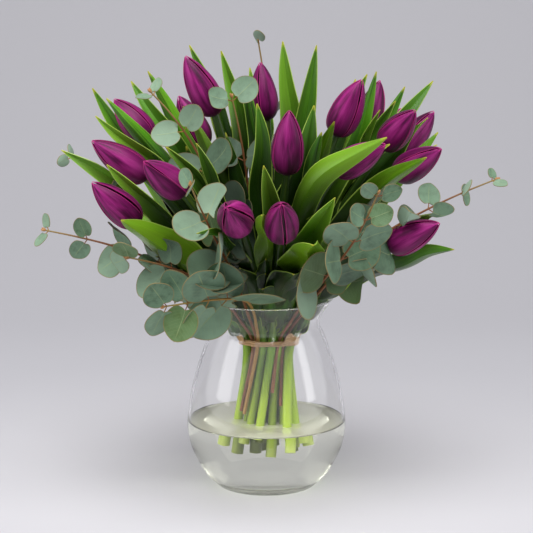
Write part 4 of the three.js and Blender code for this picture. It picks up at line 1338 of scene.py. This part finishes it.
def makeTulipStem(plant, chance, vary):
    pile = Pile()
    rows = stemShape["rows"]
    course = roundCurve([plant.foot, *plant.points], sharesOf(rows))
    course[-1] = plant.base + plant.lean * stemShape["intoBloom"]
    wobble = stemShape["wobble"] * np.sin(np.linspace(0, stemShape["wobbles"], rows) + chance(0, 6))
    thick = plant.radius * (np.linspace(1, stemShape["taper"], rows) * (1 + wobble))
    addTube(pile, course, thick, stemShape["sides"], chance(0, 1), 0, 2, stemShape["ridges"])
    spines = [
        leafSpine(plant, leaf, blade["root"] + blade["rootStep"] * order)
        for order, leaf in enumerate(plant.leaves)
    ]
    for spine in spines:
        addLeaf(pile, plant, spine, spines, chance)
    for root, leaf in fillingLeaves(plant, vary):
        addLeaf(pile, plant, leafSpine(plant, leaf, root), [], vary)
    piece = pile.mesh(plant.name + "_leafy_stem", [stemFinish, leafFinish, cutFinish])
    place(piece, "tulip_green", plant.name + "_stem")


leafChance, fillingChance = makeChance(23), makeChance(77)
for plant in tulipPlants:
    makeTulipStem(plant, leafChance, fillingChance)
print("tulip stems and leaves made")

# where the pairs of round leaves stand on a twig, as in the solids; some start later than first
pairing = {
    "first": 0.5, "later": {"eucalyptus_05": 0.64}, "last": 0.985, "step": 0.02,
    "overRim": (15, 12), "besideRim": 5,
    "forward": 0.5, "wander": 12, "lean": 0.3, "leanWander": 0.35, "size": (0.88, 1.08),
    "petiole": 2.2, "cup": 0.1,
}
# and what is finer here; the pairs at the inner end are added, with how far in each stands
roundShape = {
    "rings": 6, "spokes": 32, "thick": 0.6, "notch": (0.3, 0.3), "point": (0.08, 0.35),
    "wave": 0.03, "waves": 3, "sag": 0.05, "tilt": (15, 60), "broader": 1.12, "sharp": 50,
    "slim": 0.72, "rounder": 0.28, "slimWidth": 12, "rounding": 20, "uneven": (0.9, 1.0),
    "inner": (0.09, 0.18), "innerOuter": (0.14, 0.27, 0.38), "innerTilt": 0.25,
    "innerBroader": 1.12, "stalk": [0.55, 0.5, 0.4], "stalkSides": 6, "stalkLift": 0.2,
}
# a few small buds end the twig
twigEnd = {
    "buds": 3, "wander": 20, "ahead": (3, 5), "aside": 1.8, "rows": 7, "sides": 8,
    "stalk": 0.25, "bulge": 1.0, "full": 0.8, "side": (0.3, 0.5, 0.8),
}
twigTone = {"outer": 0.95, "others": (0, 0.35)}


def leafOutline(slim, chance):
    # rings of a round leaf, one long half-width across: pointed at its tip, notched at its stalk
    angle = roundAngles(roundShape["spokes"])
    point, pointWidth = roundShape["point"]
    notch, notchWidth = roundShape["notch"]
    edge = 1 + point * np.exp(-((np.minimum(angle, 2 * math.pi - angle) / pointWidth) ** 2))
    edge = edge - notch * slim * np.exp(-(((angle - math.pi) / notchWidth) ** 2))
    ring = sharesOf(roundShape["rings"] + 1)[1:, None]
    x, y = ring * edge * np.cos(angle), ring * edge * np.sin(angle) * slim
    wave = roundShape["wave"] * np.sin(angle * roundShape["waves"] + chance(0, 6)) * ring ** 3
    lift = pairing["cup"] * ring ** 2 + wave - roundShape["sag"] * np.abs(y) * (1 - ring)
    flat = [np.append((ring * way(angle)).ravel(), 0) / 2 + 0.5 for way in (np.sin, np.cos)]
    return x, y, lift, flat


def addRoundLeaf(pile, plant, node, out, face, width, slim, tone, chance):
    # a round leaf on a short stalk
    radius = width / 2
    sideway = unit(np.cross(face, out))
    centre = node + out * (pairing["petiole"] + radius)
    x, y, lift, flat = leafOutline(slim, chance)
    spots = centre + out * (radius * x)[..., None] + sideway * (radius * y)[..., None]
    spots = (spots + face * (radius * lift)[..., None]).reshape(-1, 3)
    spots = settle(np.concatenate([spots, [centre]]), plant)
    rings, spokes, number = roundShape["rings"], roundShape["spokes"], len(spots)
    around = np.arange(spokes)
    following = (around + 1) % spokes
    top = quads(rings, spokes, wrap=True)[:, ::-1]
    middle = np.stack([np.full(spokes, number - 1), around, following], 1)
    rim, nextRim = (rings - 1) * spokes + around, (rings - 1) * spokes + following
    brim = np.stack([rim, rim + number, nextRim + number, nextRim], 1)
    sheets = (top, middle, top[:, ::-1] + number, middle[:, ::-1] + number, brim)
    faces = [corners for sheet in sheets for corners in sheet]
    half = face * roundShape["thick"] / 2
    pile.add(np.concatenate([spots + half, spots - half]), faces, np.tile(flat[0], 2),
             np.tile(flat[1], 2), tone, np.repeat([0.0, 1.0], number), 1)
    base = spots[(rings - 2) * spokes + spokes // 2]
    stalk = np.array([node, (node + base) / 2 + face * roundShape["stalkLift"], base])
    addTube(pile, stalk, roundShape["stalk"], roundShape["stalkSides"], tone)


def addPair(pile, plant, pair, share, node, along, chance, vary):
    level = unit(np.cross(node - facing["centre"], along))
    width = plant.size[0] + (plant.size[1] - plant.size[0]) * max(share, 0)
    inner = share < 0
    for side in (0, 180):
        turn = (plant.turn if pair % 2 else -plant.turn) + side
        turn += chance(-pairing["wander"], pairing["wander"])
        out = unit(turned(level, along, turn) + along * pairing["forward"])
        lean = pairing["lean"] + chance(-pairing["leanWander"], pairing["leanWander"])
        face = squareTo(outOfBouquet(node) + along * lean, out)
        if pair % 2 == 0:
            tilt = vary(*roundShape["tilt"]) * (roundShape["innerTilt"] if inner else 1)
            face = turned(face, out, tilt * (1 if side else -1))
        size = width * roundShape["broader"] * chance(*pairing["size"])
        size *= roundShape["innerBroader"] if inner else 1
        rounder = roundShape["rounder"] * (size - roundShape["slimWidth"]) / roundShape["rounding"]
        slim = min(1, roundShape["slim"] + rounder) * vary(*roundShape["uneven"])
        addRoundLeaf(pile, plant, node, out, face, size, slim, vary(0, 1), vary)


def makeSpray(plant, chance, vary):
    pile = Pile()
    isOuter = plant.name == outerSpray
    tone = twigTone["outer"] if isOuter else vary(*twigTone["others"])
    course = roundCurve([plant.foot, *plant.points], sharesOf(twigShape["rows"]))
    tipRadius = twigShape["tipRadius"] * twigShape["tipTaper"]
    thick = np.linspace(twigShape["radius"], tipRadius, twigShape["rows"])
    addTube(pile, course, thick, twigShape["sides"], tone, 0, 2)

    def at(share):
        t = evenly(roundCurve, plant.points, [share])
        return roundCurve(plant.points, t)[0], heading(roundCurve, plant.points, t)[0]

    first, last = pairing["later"].get(plant.name, pairing["first"]), pairing["last"]
    startOver, pairOver = (rimHeight + over for over in pairing["overRim"])
    beside = rimRadius + pairing["besideRim"]
    spot = at(first)[0]
    while spot[2] < startOver and math.hypot(spot[0], spot[1]) < beside:
        first += pairing["step"]
        spot = at(first)[0]
    shares = [k / (plant.pairs - 1) for k in range(plant.pairs)]
    shares += [-back / (last - first) for back in roundShape["innerOuter" if isOuter else "inner"]]
    for pair, share in enumerate(shares):
        node, along = at(first + (last - first) * share)
        if node[2] >= pairOver:
            addPair(pile, plant, pair, share, node, along, chance, vary)
    tip, ahead = at(1.0)
    grow = sharesOf(twigEnd["rows"])
    bulge = twigEnd["stalk"] + twigEnd["bulge"] * np.sin(grow * math.pi) ** twigEnd["full"]
    for bud in range(twigEnd["buds"]):
        degrees = 360 / twigEnd["buds"] * bud + vary(-twigEnd["wander"], twigEnd["wander"])
        side = turned(unit(np.cross(ahead, twigEnd["side"])), ahead, degrees)
        end = tip + ahead * vary(*twigEnd["ahead"]) + side * (twigEnd["aside"] if bud else 0)
        line = tip - ahead + (end - tip + ahead) * grow[:, None]
        addTube(pile, line, bulge, twigEnd["sides"], vary(0, 1), 2)
    finishes = [twigFinish, roundLeafFinish, budFinish]
    piece = pile.mesh(plant.name + "_spray", finishes, roundShape["sharp"])
    place(piece, "eucalyptus_green", plant.name)


sprayChance, sprayVary = makeChance(7), makeChance(41)
for plant in sprayPlants:
    makeSpray(plant, sprayChance, sprayVary)
print("eucalyptus made")

studio = {
    "floor": rgb(193, 192, 197),
    # painted light round the vase, and the distances over which it fades
    "paintedLight": rgb(217, 215, 219),
    "paintedLightWithin": (0.6, 0.05),
    "world": (0.80, 0.80, 0.83, 1),
    "worldStrength": 0.32,
    "roomInGlass": 1.4,
    "near": -3.5,
    "wallDistance": 2.2,
    "bend": 1.4,
    "bendSteps": 24,
    "top": 5.0,
    "side": 5.0,
    "under": 0.0001,
}


def makePaperFinish():
    # painted light: the paper is paler round the vase, to cancel the shade the bunch casts there
    finish = Finish("backdropPaper", Roughness=0.7)
    x, y, _ = finish.parts(finish.node("ShaderNodeTexCoord", out="Object"))
    away = ((x ** 2 + y ** 2) ** 0.5).rise(*studio["paintedLightWithin"])
    finish.paint(studio, "floor", ("paintedLight", away))
    return finish.material


def makeBackdrop():
    # a seamless pale sheet that runs up behind the vase
    bend, wall, side = studio["bend"], studio["wallDistance"], studio["side"]
    course = [(studio["near"], 0.0), (wall - bend, 0.0)]
    for turn in np.linspace(0, math.pi / 2, studio["bendSteps"])[1:]:
        course.append((wall - bend + bend * math.sin(turn), bend - bend * math.cos(turn)))
    course.append((wall, studio["top"]))
    points = [(x, y, z - studio["under"]) for y, z in course for x in (-side, side)]
    faces = [(2 * k, 2 * k + 1, 2 * k + 3, 2 * k + 2) for k in range(len(course) - 1)]
    mesh = bpy.data.meshes.new("backdrop")
    mesh.from_pydata(points, [], faces)
    mesh.polygons.foreach_set("use_smooth", np.ones(len(faces), bool))
    mesh.materials.append(makePaperFinish())
    addObject("backdrop", mesh)


softboxes = {
    "left": {"at": (-1.35, -0.5, 0.75), "to": (0, 0, 0.25), "size": (0.7, 1.1), "power": 6},
    "right": {"at": (1.35, -0.45, 0.7), "to": (0, 0, 0.25), "size": (0.4, 1.0), "power": 4},
    "above": {"at": (0.0, -0.7, 2.7), "to": (0, 0.3, 0.2), "size": (2.2, 1.8), "power": 60},
    "front": {"at": (0.0, -2.0, 2.4), "to": (0, -0.3, 0.1), "size": (2.2, 0.9), "power": 24},
}


def makeSoftboxes():
    for name, box in softboxes.items():
        light = bpy.data.lights.new(name + " softbox", "AREA")
        light.shape = "RECTANGLE"
        light.size, light.size_y = box["size"]
        light.energy = box["power"]
        lamp = addObject(name + " softbox", light)
        lamp.location = box["at"]
        aim = Vector(box["to"]) - Vector(box["at"])
        lamp.rotation_euler = aim.to_track_quat("-Z", "Y").to_euler()


def makeWorld():
    # a dim room, which glass and water show as a pale one
    world = bpy.data.worlds.new("studio")
    world.use_nodes = True
    tree = world.node_tree
    dim, pale = tree.nodes["Background"], tree.nodes.new("ShaderNodeBackground")
    for node, strength in ((dim, studio["worldStrength"]), (pale, studio["roomInGlass"])):
        node.inputs["Color"].default_value = studio["world"]
        node.inputs["Strength"].default_value = strength
    path = tree.nodes.new("ShaderNodeLightPath")
    both = tree.nodes.new("ShaderNodeMixShader")
    taken = (path.outputs["Is Singular Ray"], dim.outputs[0], pale.outputs[0])
    for socket, output in enumerate(taken):
        tree.links.new(output, both.inputs[socket])
    tree.links.new(both.outputs[0], tree.nodes["World Output"].inputs["Surface"])
    bpy.context.scene.world = world


cameraLook = {
    "at": (0.0, -1.6, 0.485), "down": 9.4, "focal": 1645, "frame": 533, "sensor": 36, "far": 50,
}


def makeCamera():
    data = bpy.data.cameras.new("camera")
    data.sensor_width = cameraLook["sensor"]
    data.lens = cameraLook["sensor"] * cameraLook["focal"] / cameraLook["frame"]
    data.clip_end = cameraLook["far"]
    camera = addObject("camera", data)
    camera.location = cameraLook["at"]
    camera.rotation_euler = (math.radians(90 - cameraLook["down"]), 0, 0)
    bpy.context.scene.camera = camera


makeBackdrop()
makeSoftboxes()
makeWorld()
makeCamera()
bpy.context.scene.view_settings.view_transform = "Standard"
print("studio made")
